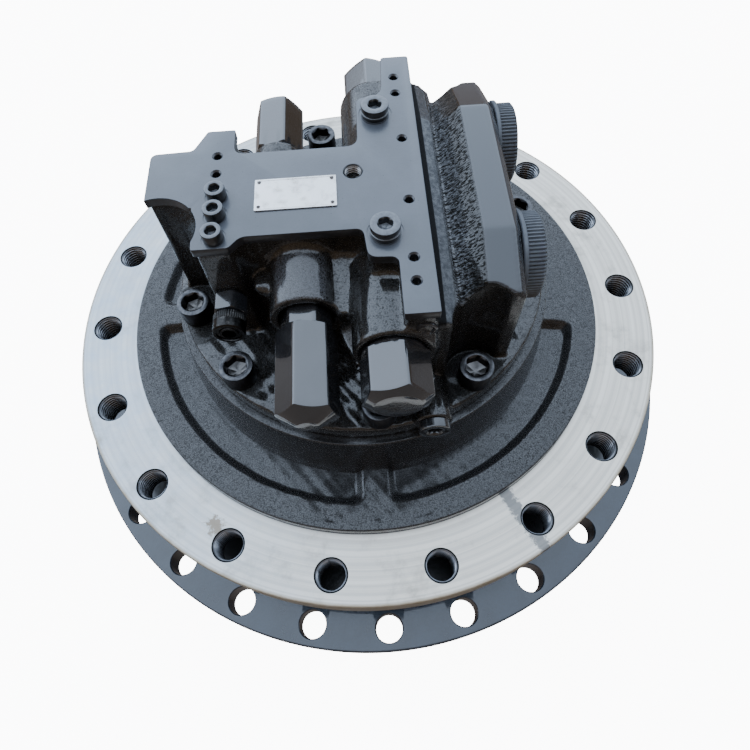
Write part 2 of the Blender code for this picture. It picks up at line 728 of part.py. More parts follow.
def sun_gear_2():
    """Hollow sun gear, whose collar is splined in the first carrier."""
    shaft = SHAFT_MIDDLE_DIA / 2 + RUN_GAP
    phase = sun_phase(SUN_2_TEETH, PLANET_2_TEETH)
    body = gear(SUN_2_TEETH, shaft, GEAR_2_Z, GEAR_2_TOP, phase, bore_facets=SMALL_FACETS)
    sun = piece("sun_gear_2", body, gear_steel("sun_2_steel"))
    collar = tube(shaft, COLLAR_R, CARRIER_1_Z, GEAR_2_Z + 0.002, SMALL_FACETS)
    cut(sun, "sun_collar", collar, "UNION")


def carrier_2():
    """Two plates joined by the pins and by a post between each two planets.

    The back plate is splined on the spindle's nose, so this carrier stands still.
    """
    outer = CARRIER_2_DIA / 2
    front = tube(SUN_2_PITCH_R + GEAR_TIP + 0.004, outer, CARRIER_2_Z, CARRIER_2_FRONT_TOP,
                 RING_FACETS)
    back = tube(SPINDLE_NOSE_DIA / 2 + SEAT_GAP, outer, CARRIER_2_BACK_Z, CARRIER_2_TOP,
                RING_FACETS)
    carrier = piece("carrier_2", front, gear_steel("carrier_2_steel"))
    low = CARRIER_2_FRONT_TOP - 0.002
    high = CARRIER_2_BACK_Z + 0.002
    posts = [lay(drum(CARRIER_POST_DIA / 2, low, high, HOLE_FACETS),
                 at=polar(CARRIER_POST_REACH, math.tau * (i + 0.5) / PLANET_2_COUNT))
             for i in range(PLANET_2_COUNT)]
    cut(carrier, "carrier_posts", join(posts), "UNION")
    cut(carrier, "pins_2", pins(PLANET_2_COUNT, PLANET_2_ORBIT, PIN_2_DIA, low, high), "UNION")
    cut(carrier, "carrier_back_plate", back, "UNION")


# Main bearings and seal
def main_bearing(name, low, wide_end_up):
    """Taper roller bearing: cone on the spindle, cup in the hub, caged rollers between."""
    bore = MAIN_BEARING_BORE / 2
    outer = MAIN_BEARING_DIA / 2 - SEAT_GAP
    high = low + MAIN_BEARING_WIDE
    cone_r = bore + RACE_THICK
    cup_r = outer - RACE_THICK
    shift = RACE_TAPER / 2 if wide_end_up else -RACE_TAPER / 2
    cone = [(bore, low), (cone_r - shift, low), (cone_r + shift, high), (bore, high)]
    cup = [(cup_r - shift, low), (outer, low), (outer, high), (cup_r + shift, high)]
    piece(name + "_cone", turned(cone, RING_FACETS), bearing_steel(name + "_cone_steel"))
    piece(name + "_cup", turned(cup, RING_FACETS), bearing_steel(name + "_cup_steel"))
    sag = cup_r * (1 - math.cos(math.pi / RING_FACETS))
    reach = (cup_r - cone_r - sag) / 2 - SEAT_GAP
    middle = (cup_r + cone_r - sag) / 2
    outside, inside = roller_outlines(middle, reach)
    cage = hollow_prism(outside, inside, low + 0.002, high - 0.002)
    for corner in cage.verts:
        flat = Vector((corner.co.x, corner.co.y, 0))
        share = (corner.co.z - (low + high) / 2) / (MAIN_BEARING_WIDE / 2)
        corner.co += flat.normalized() * shift * share
    piece(name + "_rollers", cage, bearing_steel(name + "_roller_steel"))


def roller_outlines(middle, reach):
    """Outer and inner outline of a ring of rollers that a thin cage joins."""
    outside = []
    inside = []
    half_width = reach / middle
    for i in range(ROLLER_COUNT):
        centre = math.tau * i / ROLLER_COUNT
        for turn, rise in ((-1.0, CAGE_THICK / 2), (-0.5, reach), (0.5, reach),
                           (1.0, CAGE_THICK / 2)):
            angle = centre + turn * half_width
            outside.append(tuple(polar(middle + rise, angle).xy))
            inside.append(tuple(polar(middle - rise, angle).xy))
    return outside, inside


def bearing_nut():
    """Ring nut that holds the bearings on the spindle, with four spanner slots."""
    bore = SPINDLE_THREAD_DIA / 2 + SEAT_GAP
    body = tube(bore, NUT_DIA / 2, NUT_Z, NUT_Z + NUT_THICK - SEAT_GAP, RING_FACETS)
    nut = piece("bearing_nut", body, gear_steel("nut_steel"))
    slots = []
    for i in range(4):
        slot = prism([(-0.006, -0.005), (0.006, -0.005), (0.006, 0.005), (-0.006, 0.005)],
                     NUT_Z - 0.002, NUT_Z + NUT_THICK + 0.002)
        slots.append(lay(slot, at=polar(NUT_DIA / 2, math.tau * (i + 0.5) / 4),
                         turn=math.tau * (i + 0.5) / 4))
    cut(nut, "spanner_slots", join(slots))


def face_seal():
    """Two lapped seal rings face to face, each drawn in one with its rubber ring."""
    inner = SEAL_BORE_DIA / 2
    low = UPPER_BEARING_TOP + RUN_GAP
    middle = low + SEAL_RING_HIGH
    high = SEAL_TOP_Z
    lip = inner + SEAL_BAND
    hub_seat = MAIN_BEARING_DIA / 2 + SEAL_SEAT_STEP - SEAT_GAP
    turning = [(inner, low), (hub_seat, low), (lip, middle), (inner, middle)]
    fixed = [(inner, middle + SEAT_GAP), (lip, middle + SEAT_GAP), (lip + 0.003, high), (inner, high)]
    piece("seal_ring_turning", turned(turning, RING_FACETS), bearing_steel("seal_iron_a"))
    piece("seal_ring_fixed", turned(fixed, RING_FACETS), bearing_steel("seal_iron_b"))


# Motor case
def motor_case():
    """Spindle for the hub and the motor's wall, up to the frame flange's bore."""
    journal = MAIN_BEARING_BORE / 2 - SEAT_GAP
    nose = SPINDLE_NOSE_DIA / 2
    thread = SPINDLE_THREAD_DIA / 2
    seal_land = SEAL_BORE_DIA / 2 - SEAL_LAND_STEP
    foot = CASE_FOOT_DIA / 2
    chamber = CHAMBER_DIA / 2
    front = CHAMBER_FRONT_DIA / 2
    bearing = FRONT_BEARING_DIA / 2 + SEAT_GAP
    bearing_low = CHAMBER_FLOOR_Z - FRONT_BEARING_WIDE
    shaft = SHAFT_MIDDLE_DIA / 2 + SHAFT_CLEAR
    profile = [
        (shaft, CARRIER_2_BACK_Z), (nose, CARRIER_2_BACK_Z), (nose, SPINDLE_STEP_Z),
        (thread, SPINDLE_STEP_Z), (thread, SPINDLE_SHOULDER_Z), (journal, SPINDLE_SHOULDER_Z),
        (journal, UPPER_BEARING_TOP + SEAT_GAP), (seal_land, UPPER_BEARING_TOP + SEAL_LAND_STEP),
        (seal_land, SEAL_TOP_Z + SEAT_GAP), (foot, SEAL_TOP_Z + SEAT_GAP),
        (foot, FRAME_FACE_Z + SPIGOT_HIGH), (CASE_TOP_DIA / 2, CASE_TOP_Z),
        (chamber, CASE_TOP_Z), (chamber, BRAKE_LEDGE_Z), (front, BRAKE_LEDGE_Z),
        (front, CHAMBER_FLOOR_Z), (bearing, CHAMBER_FLOOR_Z), (bearing, bearing_low),
        (shaft, bearing_low),
    ]
    case = piece("motor_case", turned(profile, RING_FACETS), black_paint("case_paint"))
    threads = [lay(drum(MOTOR_BOLT_DIA / 2 + SEAT_GAP,
                        BASE_DISC_TOP - MOTOR_BOLT_LONG - 0.002, CASE_TOP_Z + 0.01, HEAD_FACETS),
                   at=polar(MOTOR_BOLT_CIRCLE / 2, angle)) for angle in MOTOR_BOLT_ANGLES]
    cut(case, "motor_bolt_threads", join(threads))


def frame_flange():
    """Ring that bolts to the track frame, with its spigot and the skirt over the face seal.

    The real one is cast in one with the case. Here it is a ring of its own, so that each
    of the two has a plain form.
    """
    bore = CASE_FOOT_DIA / 2 + SEAT_GAP
    flange = FRAME_FLANGE_DIA / 2
    spigot = SPIGOT_DIA / 2
    skirt = MAIN_BEARING_DIA / 2
    skirt_low = SEAL_TOP_Z + SEAT_GAP
    step = HUB_TOP_Z + 2 * RUN_GAP
    profile = [
        (bore, skirt_low), (skirt, skirt_low), (skirt, step),
        (HUB_NECK_DIA / 2 + FLANGE_STEP, step),
        (HUB_NECK_DIA / 2 + FLANGE_STEP + FLANGE_STEP_EASE, FRAME_BACK_Z), (flange, FRAME_BACK_Z),
        (flange, FRAME_FACE_Z - FLANGE_CHAMFER), (flange - FLANGE_CHAMFER, FRAME_FACE_Z),
        (spigot, FRAME_FACE_Z), (spigot, FRAME_FACE_Z + SPIGOT_HIGH),
        (bore, FRAME_FACE_Z + SPIGOT_HIGH),
    ]
    ring = piece("frame_flange", turned(profile, RING_FACETS), gear_steel("flange_steel"))
    cut(ring, "frame_holes", join(frame_holes()))
    cut(ring, "flange_pockets", join(flange_pockets()))


def frame_holes():
    """Threaded holes right through the frame flange."""
    return [lay(drum(FRAME_THREAD_DIA / 2, FRAME_BACK_Z - 0.005, FRAME_FACE_Z + 0.005, HOLE_FACETS),
                at=polar(FRAME_BOLT_CIRCLE / 2,
                         FRAME_BOLT_START + math.tau * i / FRAME_BOLT_COUNT))
            for i in range(FRAME_BOLT_COUNT)]


def flange_pockets():
    """Curved pockets in the spigot's top, with a rib between each two."""
    inner = CASE_FOOT_DIA / 2 + 0.003
    outer = POCKET_OUTER_DIA / 2
    low = FRAME_FACE_Z + SPIGOT_HIGH - POCKET_DEEP
    high = FRAME_FACE_Z + SPIGOT_HIGH + 0.003
    pockets = []
    for start, stop in POCKET_SPANS:
        margin = POCKET_RIB / 2 / outer
        first = start - margin
        last = stop + margin
        steps = max(4, round((first - last) / math.tau * RING_FACETS))
        angles = [first + (last - first) * i / steps for i in range(steps + 1)]
        outline = [tuple(polar(outer, angle).xy) for angle in angles]
        outline += [tuple(polar(inner, angle).xy) for angle in reversed(angles)]
        pockets.append(prism(outline, low, high))
    return pockets


def motor_bolts():
    """Socket head screws that clamp the rear cover to the case."""
    for number, angle in enumerate(MOTOR_BOLT_ANGLES, 1):
        name = "motor_bolt_%d" % number
        place = polar(MOTOR_BOLT_CIRCLE / 2, angle, BASE_DISC_TOP + SEAT_GAP)
        bolt = socket_plug(MOTOR_BOLT_HEAD_DIA, MOTOR_BOLT_HEAD_HIGH, MOTOR_BOLT_SOCKET,
                           MOTOR_BOLT_SOCKET_DEEP, MOTOR_BOLT_DIA, MOTOR_BOLT_LONG)
        piece(name, lay(bolt, at=place), zinc_plate(name + "_steel"))


# Rear cover with its valves
def plate_outline():
    """The machined top: a left block, a waist under the name plate and a long arm."""
    right = ARM_RIGHT
    left = ARM_LEFT
    shoulder = BODY_BACK + SHOULDER_BACK
    return [
        (right, -ARM_REACH), (right, ARM_REACH), (left + 0.001, ARM_REACH),
        (left - 0.002, shoulder + ARM_ROOT), (left - 0.008, shoulder + ARM_ROOT - 0.006),
        (SHOULDER_LEFT, shoulder), (SHOULDER_LEFT - 0.002, BODY_BACK + 0.006),
        (SHOULDER_LEFT - 0.009, BODY_BACK), (-LEFT_BLOCK_RIGHT + 0.006, BODY_BACK),
        (-LEFT_BLOCK_RIGHT + 0.001, BODY_BACK + 0.006), (-LEFT_BLOCK_RIGHT, LEFT_BLOCK_BACK),
        (-LEFT_BLOCK_RIGHT - 0.019, LEFT_BLOCK_BACK), (-LEFT_BLOCK_RIGHT - 0.028, 0.028),
        (-LEFT_BLOCK_LEFT + 0.004, 0.027), (-LEFT_BLOCK_LEFT, 0.020),
        (-LEFT_BLOCK_LEFT, -0.022), (-LEFT_BLOCK_RIGHT - 0.025, -0.022),
        (-LEFT_BLOCK_RIGHT - 0.023, -LEFT_BLOCK_FRONT), (-LEFT_BLOCK_RIGHT, -LEFT_BLOCK_FRONT),
        (-LEFT_BLOCK_RIGHT + 0.007, -BODY_FRONT), (0.000, -BODY_FRONT),
        (SHOULDER_LEFT - 0.002, -BODY_FRONT - 0.004), (SHOULDER_LEFT, -SHOULDER_FRONT + 0.006),
        (SHOULDER_LEFT + 0.006, -SHOULDER_FRONT), (left - 0.004, -SHOULDER_FRONT - 0.001),
        (left, -SHOULDER_FRONT - 0.006), (left, -ARM_REACH),
    ]


def port_section(y):
    """Section of the port block at one y. Its top sinks toward the block's two ends."""
    drop = max(0.0, abs(y) - PORT_BLOCK_FLAT) * math.tan(PORT_BLOCK_SLOPE)
    top = TOP_PLATE_Z
    low = BASE_DISC_TOP - 0.004
    return [
        (ARM_RIGHT - 0.003, y, low), (PORT_BLOCK_RIGHT, y, low),
        (PORT_BLOCK_RIGHT, y, top - drop - PORT_BLOCK_CHAMFER),
        (PORT_BLOCK_RIGHT - PORT_BLOCK_CHAMFER, y, top - drop), (PORT_BLOCK_LEFT, y, top - drop),
        (VALLEY_RIGHT, y, top - drop - VALLEY_DROP), (VALLEY_LEFT, y, top - drop - VALLEY_DROP + 0.002),
        (BAND_RIGHT, y, top - drop / 2 - BAND_SLOPE_DROP), (ARM_RIGHT + 0.001, y, top - BAND_DROP),
        (ARM_RIGHT - 0.003, y, top - BAND_DROP),
    ]


def port_block():
    """Body under the ports: a level top whose ends slope down, a valley and a low band."""
    stations = (-PORT_BLOCK_FRONT, -PORT_BLOCK_FLAT, PORT_BLOCK_FLAT, PORT_BLOCK_BACK)
    return loft([port_section(y) for y in stations])


def band_end():
    """Front end of the low band, which reaches past the port block beside the arm.

    Its top lies a little under the block's own, so that the two don't share a face.
    """
    inside = ARM_RIGHT - 0.003
    low = BASE_DISC_TOP - 0.003
    loops = []
    for y in (-BAND_FRONT, 0.010 - PORT_BLOCK_FRONT):
        tops = [(x, y, z - SEAT_GAP) for x, y, z in port_section(y)[5:]]
        loops.append([(inside, y, low), (VALLEY_RIGHT, y, low)] + tops)
    return loft(loops)


def boss(x, z, dia, start, reach, side):
    """Round boss along Y from start to reach on one side of the axis plane."""
    direction = BACK * side
    place = Vector((x, side * start, FRAME_FACE_Z + z))
    return lay(drum(dia / 2, 0, reach - start, SMALL_FACETS), direction=direction, at=place)


def bore(x, z, dia, start, reach, side):
    """Round hole along Y, open at its outer end."""
    return boss(x, z, dia, start, reach + 0.01, side)


def rear_cover():
    """Casting on top of the motor that holds its valves: plate, bosses, ports and scallops."""
    disc_r = BASE_DISC_DIA / 2
    disc = turned([(0, REAR_COVER_Z), (disc_r, REAR_COVER_Z), (disc_r, BASE_DISC_TOP - 0.003),
                   (disc_r - 0.003, BASE_DISC_TOP), (0, BASE_DISC_TOP)], RING_FACETS, ring=False)
    cover = piece("rear_cover", disc, black_paint("cover_paint"))
    inside_disc = BASE_DISC_TOP - 0.005
    cut(cover, "valve_body", prism(plate_outline(), inside_disc, TOP_PLATE_Z), "UNION")
    cut(cover, "port_body", port_block(), "UNION")
    cut(cover, "band_end", band_end(), "UNION")
    cut(cover, "valve_bosses", join(valve_bosses()), "UNION")
    cut(cover, "cover_holes", join(bolt_holes() + cover_bores() + top_holes()))


def valve_bosses():
    """Round bosses for the spool, the two relief valves and the drain plug."""
    cone = turned([(0, 0), (DRAIN_BOSS_ROOT_DIA / 2, 0), (DRAIN_BOSS_DIA / 2, DRAIN_BOSS_LONG - 0.006),
                   (DRAIN_BOSS_DIA / 2, DRAIN_BOSS_LONG), (0, DRAIN_BOSS_LONG)], SMALL_FACETS,
                  ring=False)
    drain_root = (DRAIN_BOSS_X, DRAIN_BOSS_LONG - DRAIN_BOSS_REACH, FRAME_FACE_Z + DRAIN_BOSS_Z)
    return [
        boss(SPOOL_X, SPOOL_Z, SPOOL_BOSS_DIA, 0.010, SPOOL_BOSS_REACH, -1),
        boss(SPOOL_X, SPOOL_Z, SPOOL_BOSS_DIA, 0.010, SPOOL_BOSS_REACH, 1),
        boss(RELIEF_FRONT_X, RELIEF_FRONT_Z, RELIEF_BOSS_DIA, 0.012, RELIEF_FRONT_BOSS_REACH, -1),
        boss(RELIEF_BACK_X, RELIEF_BACK_Z, RELIEF_BACK_BOSS_DIA, 0.012, RELIEF_BACK_BOSS_REACH, 1),
        lay(cone, direction=FRONT, at=drain_root),
    ]


def bolt_holes():
    """Motor bolt holes through the disc, some with an upright scallop that clears the head."""
    radius = MOTOR_BOLT_DIA / 2 + SEAT_GAP
    low = REAR_COVER_Z - 0.01
    high = TOP_PLATE_Z + 0.01
    holes = []
    for angle, scallop in zip(MOTOR_BOLT_ANGLES, BOLT_SCALLOPS):
        if scallop > 0:
            outline = [(0, low), (radius, low), (radius, BASE_DISC_TOP), (scallop, BASE_DISC_TOP),
                       (scallop, high), (0, high)]
            hole = turned(outline, SMALL_FACETS, ring=False)
        else:
            hole = drum(radius, low, BASE_DISC_TOP + 0.01, SMALL_FACETS)
        holes.append(lay(hole, at=polar(MOTOR_BOLT_CIRCLE / 2, angle)))
    return holes


def cover_bores():
    """Holes for the spool, the caps, the fittings, the ports and the shaft's rear bearing."""
    shank = RELIEF_SHANK_DIA + 2 * SEAT_GAP
    deep = CAP_SHANK_LONG + 0.002
    holes = [
        bore(RELIEF_FRONT_X, RELIEF_FRONT_Z, shank, RELIEF_FRONT_BOSS_REACH - deep,
             RELIEF_FRONT_BOSS_REACH, -1),
        bore(RELIEF_BACK_X, RELIEF_BACK_Z, shank, RELIEF_BACK_BOSS_REACH - deep,
             RELIEF_BACK_BOSS_REACH, 1),
        bore(SPEED_PLUG_X, SPEED_PLUG_Z, SPEED_THREAD_DIA + 2 * SEAT_GAP,
             LEFT_BLOCK_FRONT - 0.014, LEFT_BLOCK_FRONT, -1),
        bore(ARM_PLUG_X, ARM_PLUG_Z, ARM_PLUG_DIA + 2 * SEAT_GAP, ARM_REACH - ARM_PLUG_SUNK,
             ARM_REACH, -1),
        bore(DRAIN_BOSS_X, DRAIN_BOSS_Z, DRAIN_THREAD_DIA + 2 * SEAT_GAP,
             DRAIN_BOSS_REACH - 0.014, DRAIN_BOSS_REACH, -1),
        drum(REAR_BEARING_DIA / 2 + SEAT_GAP, REAR_COVER_Z - 0.01,
             REAR_COVER_Z + REAR_BEARING_WIDE + 2 * SEAT_GAP, SMALL_FACETS),
        lay(drum(SPOOL_BORE_DIA / 2, -SPOOL_BOSS_REACH - 0.01, SPOOL_BOSS_REACH + 0.01,
                 SMALL_FACETS), direction=BACK, at=(SPOOL_X, 0, FRAME_FACE_Z + SPOOL_Z)),
    ]
    for y in PORT_PLACES_Y:
        place = (PORT_BLOCK_RIGHT - PORT_DEEP, y, FRAME_FACE_Z + PORT_Z)
        holes.append(lay(drum(PORT_DIA / 2, 0, PORT_DEEP + 0.01, SMALL_FACETS), direction=RIGHT,
                         at=place))
    return holes


def top_holes():
    """Threaded and plugged holes in the machined top."""
    holes = [drum(EYE_HOLE_DIA / 2, TOP_PLATE_Z - EYE_HOLE_DEEP, TOP_PLATE_Z + 0.01, HOLE_FACETS)]
    for x, y in SCREW_PLACES:
        holes.append(lay(drum(SCREW_HOLE_DIA / 2, TOP_PLATE_Z - SCREW_HOLE_DEEP,
                              TOP_PLATE_Z + 0.01, 8), at=(x, y, 0)))
    deep = TOP_PLATE_Z - PLUG_SHANK_LONG - 0.002
    for places, dia in ((PILOT_PLUG_PLACES, PILOT_PLUG_DIA), (PASSAGE_PLUG_PLACES, PASSAGE_PLUG_DIA)):
        for x, y in places:
            holes.append(lay(drum(dia * PLUG_SHANK_SHARE / 2 + SEAT_GAP, deep, TOP_PLATE_Z + 0.01,
                                  HEAD_FACETS), at=(x, y, 0)))
    return holes


def hex_cap(name, x, z, seat, side, across, length, tip_dia, shank_dia, turn, neck=0.0):
    """Hex cap screwed into a boss, its outer end turned down to a round tip."""
    place = Vector((x, side * (seat + SEAT_GAP), FRAME_FACE_Z + z))
    direction = BACK * side
    corner = across / math.sqrt(3)
    slope = (corner - tip_dia / 2) * CAP_CONE_SLOPE
    body = lay(prism(hexagon(across), neck, length), direction=direction, at=place, turn=turn)
    cap = piece(name, body, black_paint(name + "_paint"))
    envelope = turned([(0, -0.001), (corner + 0.001, -0.001), (corner + 0.001, length - slope),
                       (tip_dia / 2, length), (0, length)], SMALL_FACETS, ring=False)
    cut(cap, name + "_turning", lay(envelope, direction=direction, at=place), "INTERSECT")
    if neck > 0:
        collar = drum(across * CAP_NECK_SHARE, 0, neck + 0.001, SMALL_FACETS)
        cut(cap, name + "_neck", lay(collar, direction=direction, at=place), "UNION")
    shank = drum(shank_dia / 2, -CAP_SHANK_LONG, 0.002, SMALL_FACETS)
    cut(cap, name + "_shank", lay(shank, direction=direction, at=place), "UNION")


def valve_caps():
    """Two big caps at the spool's ends and two longer relief valve caps."""
    for side, name in ((-1, "spool_cap_front"), (1, "spool_cap_back")):
        hex_cap(name, SPOOL_X, SPOOL_Z, SPOOL_BOSS_REACH, side, SPOOL_CAP_ACROSS, SPOOL_CAP_LONG,
                SPOOL_CAP_TIP_DIA, SPOOL_BORE_DIA - 2 * SEAT_GAP, SPOOL_CAP_TURN)
    hex_cap("relief_cap_front", RELIEF_FRONT_X, RELIEF_FRONT_Z, RELIEF_FRONT_BOSS_REACH, -1,
            RELIEF_CAP_ACROSS, RELIEF_FRONT_CAP_LONG, RELIEF_CAP_TIP_DIA, RELIEF_SHANK_DIA,
            RELIEF_CAP_TURN, RELIEF_FRONT_NECK)
    hex_cap("relief_cap_back", RELIEF_BACK_X, RELIEF_BACK_Z, RELIEF_BACK_BOSS_REACH, 1,
            RELIEF_CAP_ACROSS, RELIEF_BACK_CAP_LONG, RELIEF_CAP_TIP_DIA, RELIEF_SHANK_DIA,
            RELIEF_CAP_TURN)


def counterbalance_spool():
    """Spool with lands and grooves, free to slide along Y between the two caps."""
    land = SPOOL_BORE_DIA / 2 - SEAT_GAP
    groove = land - SPOOL_GROOVE_DEEP
    half = SPOOL_LONG / 2
    near = SPOOL_GROOVE_NEAR * half
    far = SPOOL_GROOVE_FAR * half
    ease = SPOOL_GROOVE_EASE * half
    upper = [(land, near - ease), (groove, near + ease), (groove, far - ease),
             (land, far + ease), (land, half), (0, half)]
    profile = [(radius, -height) for radius, height in reversed(upper)] + upper
    place = (SPOOL_X, 0, FRAME_FACE_Z + SPOOL_Z)
    body = lay(turned(profile, SMALL_FACETS, ring=False), direction=BACK, at=place)
    piece("counterbalance_spool", body, bearing_steel("spool_steel"), origin=place)


def top_plug(name, x, y, dia, socket):
    """Socket plug screwed into the machined top."""
    plug = socket_plug(dia, PLUG_PROUD, socket, PLUG_SOCKET_DEEP, dia * PLUG_SHANK_SHARE,
                       PLUG_SHANK_LONG)
    piece(name, lay(plug, at=(x, y, TOP_PLATE_Z + SEAT_GAP)), black_paint(name + "_paint"))


def plugs_and_fittings():
    """Socket plugs in the top, the arm and the drain boss, and the speed line's fitting.

    The fitting is a hexagon with a round collar on its end.
    """
    for number, (x, y) in enumerate(PILOT_PLUG_PLACES, 1):
        top_plug("pilot_plug_%d" % number, x, y, PILOT_PLUG_DIA, PILOT_PLUG_SOCKET)
    for (x, y), name in zip(PASSAGE_PLUG_PLACES, ("passage_plug_front", "passage_plug_back")):
        top_plug(name, x, y, PASSAGE_PLUG_DIA, PASSAGE_PLUG_SOCKET)
    speed = Vector((SPEED_PLUG_X, -LEFT_BLOCK_FRONT - SEAT_GAP, FRAME_FACE_Z + SPEED_PLUG_Z))
    union = loft([[(x, y, z) for x, y in loop] for loop, z in (
        (circle(SPEED_THREAD_DIA / 2, 6), -0.012), (circle(SPEED_THREAD_DIA / 2, 6), 0),
        (hexagon(SPEED_UNION_ACROSS), 0), (hexagon(SPEED_UNION_ACROSS), SPEED_UNION_LONG))])
    fitting = piece("speed_union", lay(union, direction=FRONT, at=speed), black_paint("union_paint"))
    collar = socket_plug(SPEED_PLUG_DIA, SPEED_PLUG_LONG, SPEED_SOCKET, SPEED_SOCKET_DEEP)
    seat = speed + FRONT * (SPEED_UNION_LONG - SPEED_COLLAR_LAP)
    cut(fitting, "speed_collar", lay(collar, direction=FRONT, at=seat), "UNION")
    arm = socket_plug(ARM_PLUG_DIA, ARM_PLUG_SUNK - SEAT_GAP, ARM_PLUG_SOCKET, ARM_PLUG_SOCKET_DEEP)
    arm_seat = (ARM_PLUG_X, -ARM_REACH + ARM_PLUG_SUNK - SEAT_GAP, FRAME_FACE_Z + ARM_PLUG_Z)
    piece("arm_plug", lay(arm, direction=FRONT, at=arm_seat), black_paint("arm_plug_paint"))
    drain = socket_plug(DRAIN_PLUG_DIA, DRAIN_PLUG_HIGH, DRAIN_SOCKET, DRAIN_SOCKET_DEEP,
                        DRAIN_THREAD_DIA, DRAIN_THREAD_LONG)
    drain_seat = (DRAIN_BOSS_X, -DRAIN_BOSS_REACH - SEAT_GAP, FRAME_FACE_Z + DRAIN_BOSS_Z)
    piece("drain_plug", lay(drain, direction=FRONT, at=drain_seat), black_paint("drain_plug_paint"))


def name_plate():
    """Thin bare plate on the machined top."""
    low = TOP_PLATE_Z + SEAT_GAP
    outline = [(NAME_PLATE_LEFT, NAME_PLATE_FRONT), (NAME_PLATE_RIGHT, NAME_PLATE_FRONT),
               (NAME_PLATE_RIGHT, NAME_PLATE_BACK), (NAME_PLATE_LEFT, NAME_PLATE_BACK)]
    piece("name_plate", prism(outline, low, low + NAME_PLATE_THICK),
          paint("plate_silver", (0.80, 0.80, 0.80), 0.30, 1.0))


def port_covers():
    """Ribbed plastic caps pushed into the two main ports."""
    facets = PORT_COVER_RIBS * 2
    rim = []
    for i in range(facets):
        deep = PORT_COVER_RIB_DEEP * (i % 2)
        rim.append(tuple(polar(PORT_COVER_DIA / 2 - deep, math.tau * i / facets).xy))
    for y, name in zip(PORT_PLACES_Y, ("port_cover_front", "port_cover_back")):
        place = (PORT_BLOCK_RIGHT + SEAT_GAP, y, FRAME_FACE_Z + PORT_Z)
        flange = drum(PORT_COVER_FLANGE_DIA / 2, 0, PORT_COVER_FLANGE, PORT_COVER_RIBS)
        cover = piece(name, lay(flange, direction=RIGHT, at=place), grey_plastic(name + "_plastic"))
        ribbed = lay(prism(rim, PORT_COVER_FLANGE - 0.001, PORT_COVER_LONG), direction=RIGHT,
                     at=place)
        cut(cover, name + "_ribs", ribbed, "UNION")
        stub = lay(drum(PORT_DIA / 2 - SEAT_GAP, -PORT_COVER_STUB, PORT_COVER_FLANGE / 3,
                        SMALL_FACETS), direction=RIGHT, at=place)
        cut(cover, name + "_stub", stub, "UNION")


# Motor internals
def drive_shaft():
    """Stepped shaft from the rear bearing down to the first sun gear."""
    rear_top = REAR_COVER_Z + REAR_BEARING_WIDE
    bearing_low = CHAMBER_FLOOR_Z - FRONT_BEARING_WIDE
    collar_low = CARRIER_1_Z - 0.001
    profile = [
        (0, SHAFT_FOOT_Z), (SHAFT_SPLINE_DIA / 2, SHAFT_FOOT_Z), (SHAFT_SPLINE_DIA / 2, collar_low),
        (SHAFT_MIDDLE_DIA / 2, collar_low + 0.002), (SHAFT_MIDDLE_DIA / 2, bearing_low - 0.002),
        (SHAFT_DIA / 2, bearing_low), (SHAFT_DIA / 2, CASE_TOP_Z - 0.003),
        (SHAFT_REAR_DIA / 2, CASE_TOP_Z - 0.003), (SHAFT_REAR_DIA / 2, rear_top), (0, rear_top),
    ]
    piece("drive_shaft", turned(profile, SMALL_FACETS, ring=False), gear_steel("shaft_steel"))


def shaft_bearings():
    """Front and rear bearing of the shaft, each drawn as one ring."""
    front_low = CHAMBER_FLOOR_Z - FRONT_BEARING_WIDE + SEAT_GAP
    front = tube(SHAFT_DIA / 2 + RUN_GAP, FRONT_BEARING_DIA / 2, front_low,
                 CHAMBER_FLOOR_Z - SEAT_GAP, SMALL_FACETS)
    piece("front_shaft_bearing", front, bearing_steel("front_bearing_steel"))
    rear_low = REAR_COVER_Z + SEAT_GAP
    rear = tube(SHAFT_REAR_DIA / 2 + RUN_GAP, REAR_BEARING_DIA / 2, rear_low,
                rear_low + REAR_BEARING_WIDE, SMALL_FACETS)
    piece("rear_shaft_bearing", rear, bearing_steel("rear_bearing_steel"))


def swash_plate():
    """Plate that the piston shoes run on, drawn square to the shaft."""
    low = CHAMBER_FLOOR_Z + SEAT_GAP
    plate = tube(SHAFT_DIA / 2 + SHAFT_CLEAR, SWASH_DIA / 2, low, SWASH_TOP_Z, SMALL_FACETS)
    piece("swash_plate", plate, gear_steel("swash_steel"))


def cylinder_block():
    """Nine-bore barrel splined on the shaft."""
    body = tube(SHAFT_DIA / 2 + SEAT_GAP, BLOCK_DIA / 2, BLOCK_Z, BLOCK_TOP_Z, SMALL_FACETS)
    block = piece("cylinder_block", body, gear_steel("block_steel"))
    bores = [lay(drum(PISTON_DIA / 2 + SEAT_GAP, BLOCK_Z - 0.01, BLOCK_Z + PISTON_DEEP,
                      PISTON_FACETS), at=polar(PISTON_CIRCLE / 2, math.tau * i / PISTON_COUNT))
             for i in range(PISTON_COUNT)]
    cut(block, "piston_bores", join(bores))


def piston_set():
    """Pistons on their slipper shoes, with the retainer plate that holds the shoes down."""
    foot = SWASH_TOP_Z + SEAT_GAP
    neck = foot + SHOE_HIGH
    high = BLOCK_Z + PISTON_DEEP - 0.010
    radius = PISTON_DIA / 2
    profile = [(0, foot), (SHOE_DIA / 2, foot), (0.006, neck), (radius, neck + 0.008),
               (radius, high), (0, high)]
    retainer = tube(SHAFT_DIA / 2 + SHAFT_CLEAR, RETAINER_DIA / 2, foot + 0.004,
                    foot + 0.004 + RETAINER_THICK, SMALL_FACETS)
    plate = piece("piston_set", retainer, bearing_steel("piston_steel"))
    rods = [lay(turned(profile, PISTON_FACETS, ring=False),
                at=polar(PISTON_CIRCLE / 2, math.tau * i / PISTON_COUNT))
            for i in range(PISTON_COUNT)]
    cut(plate, "pistons", join(rods), "UNION")


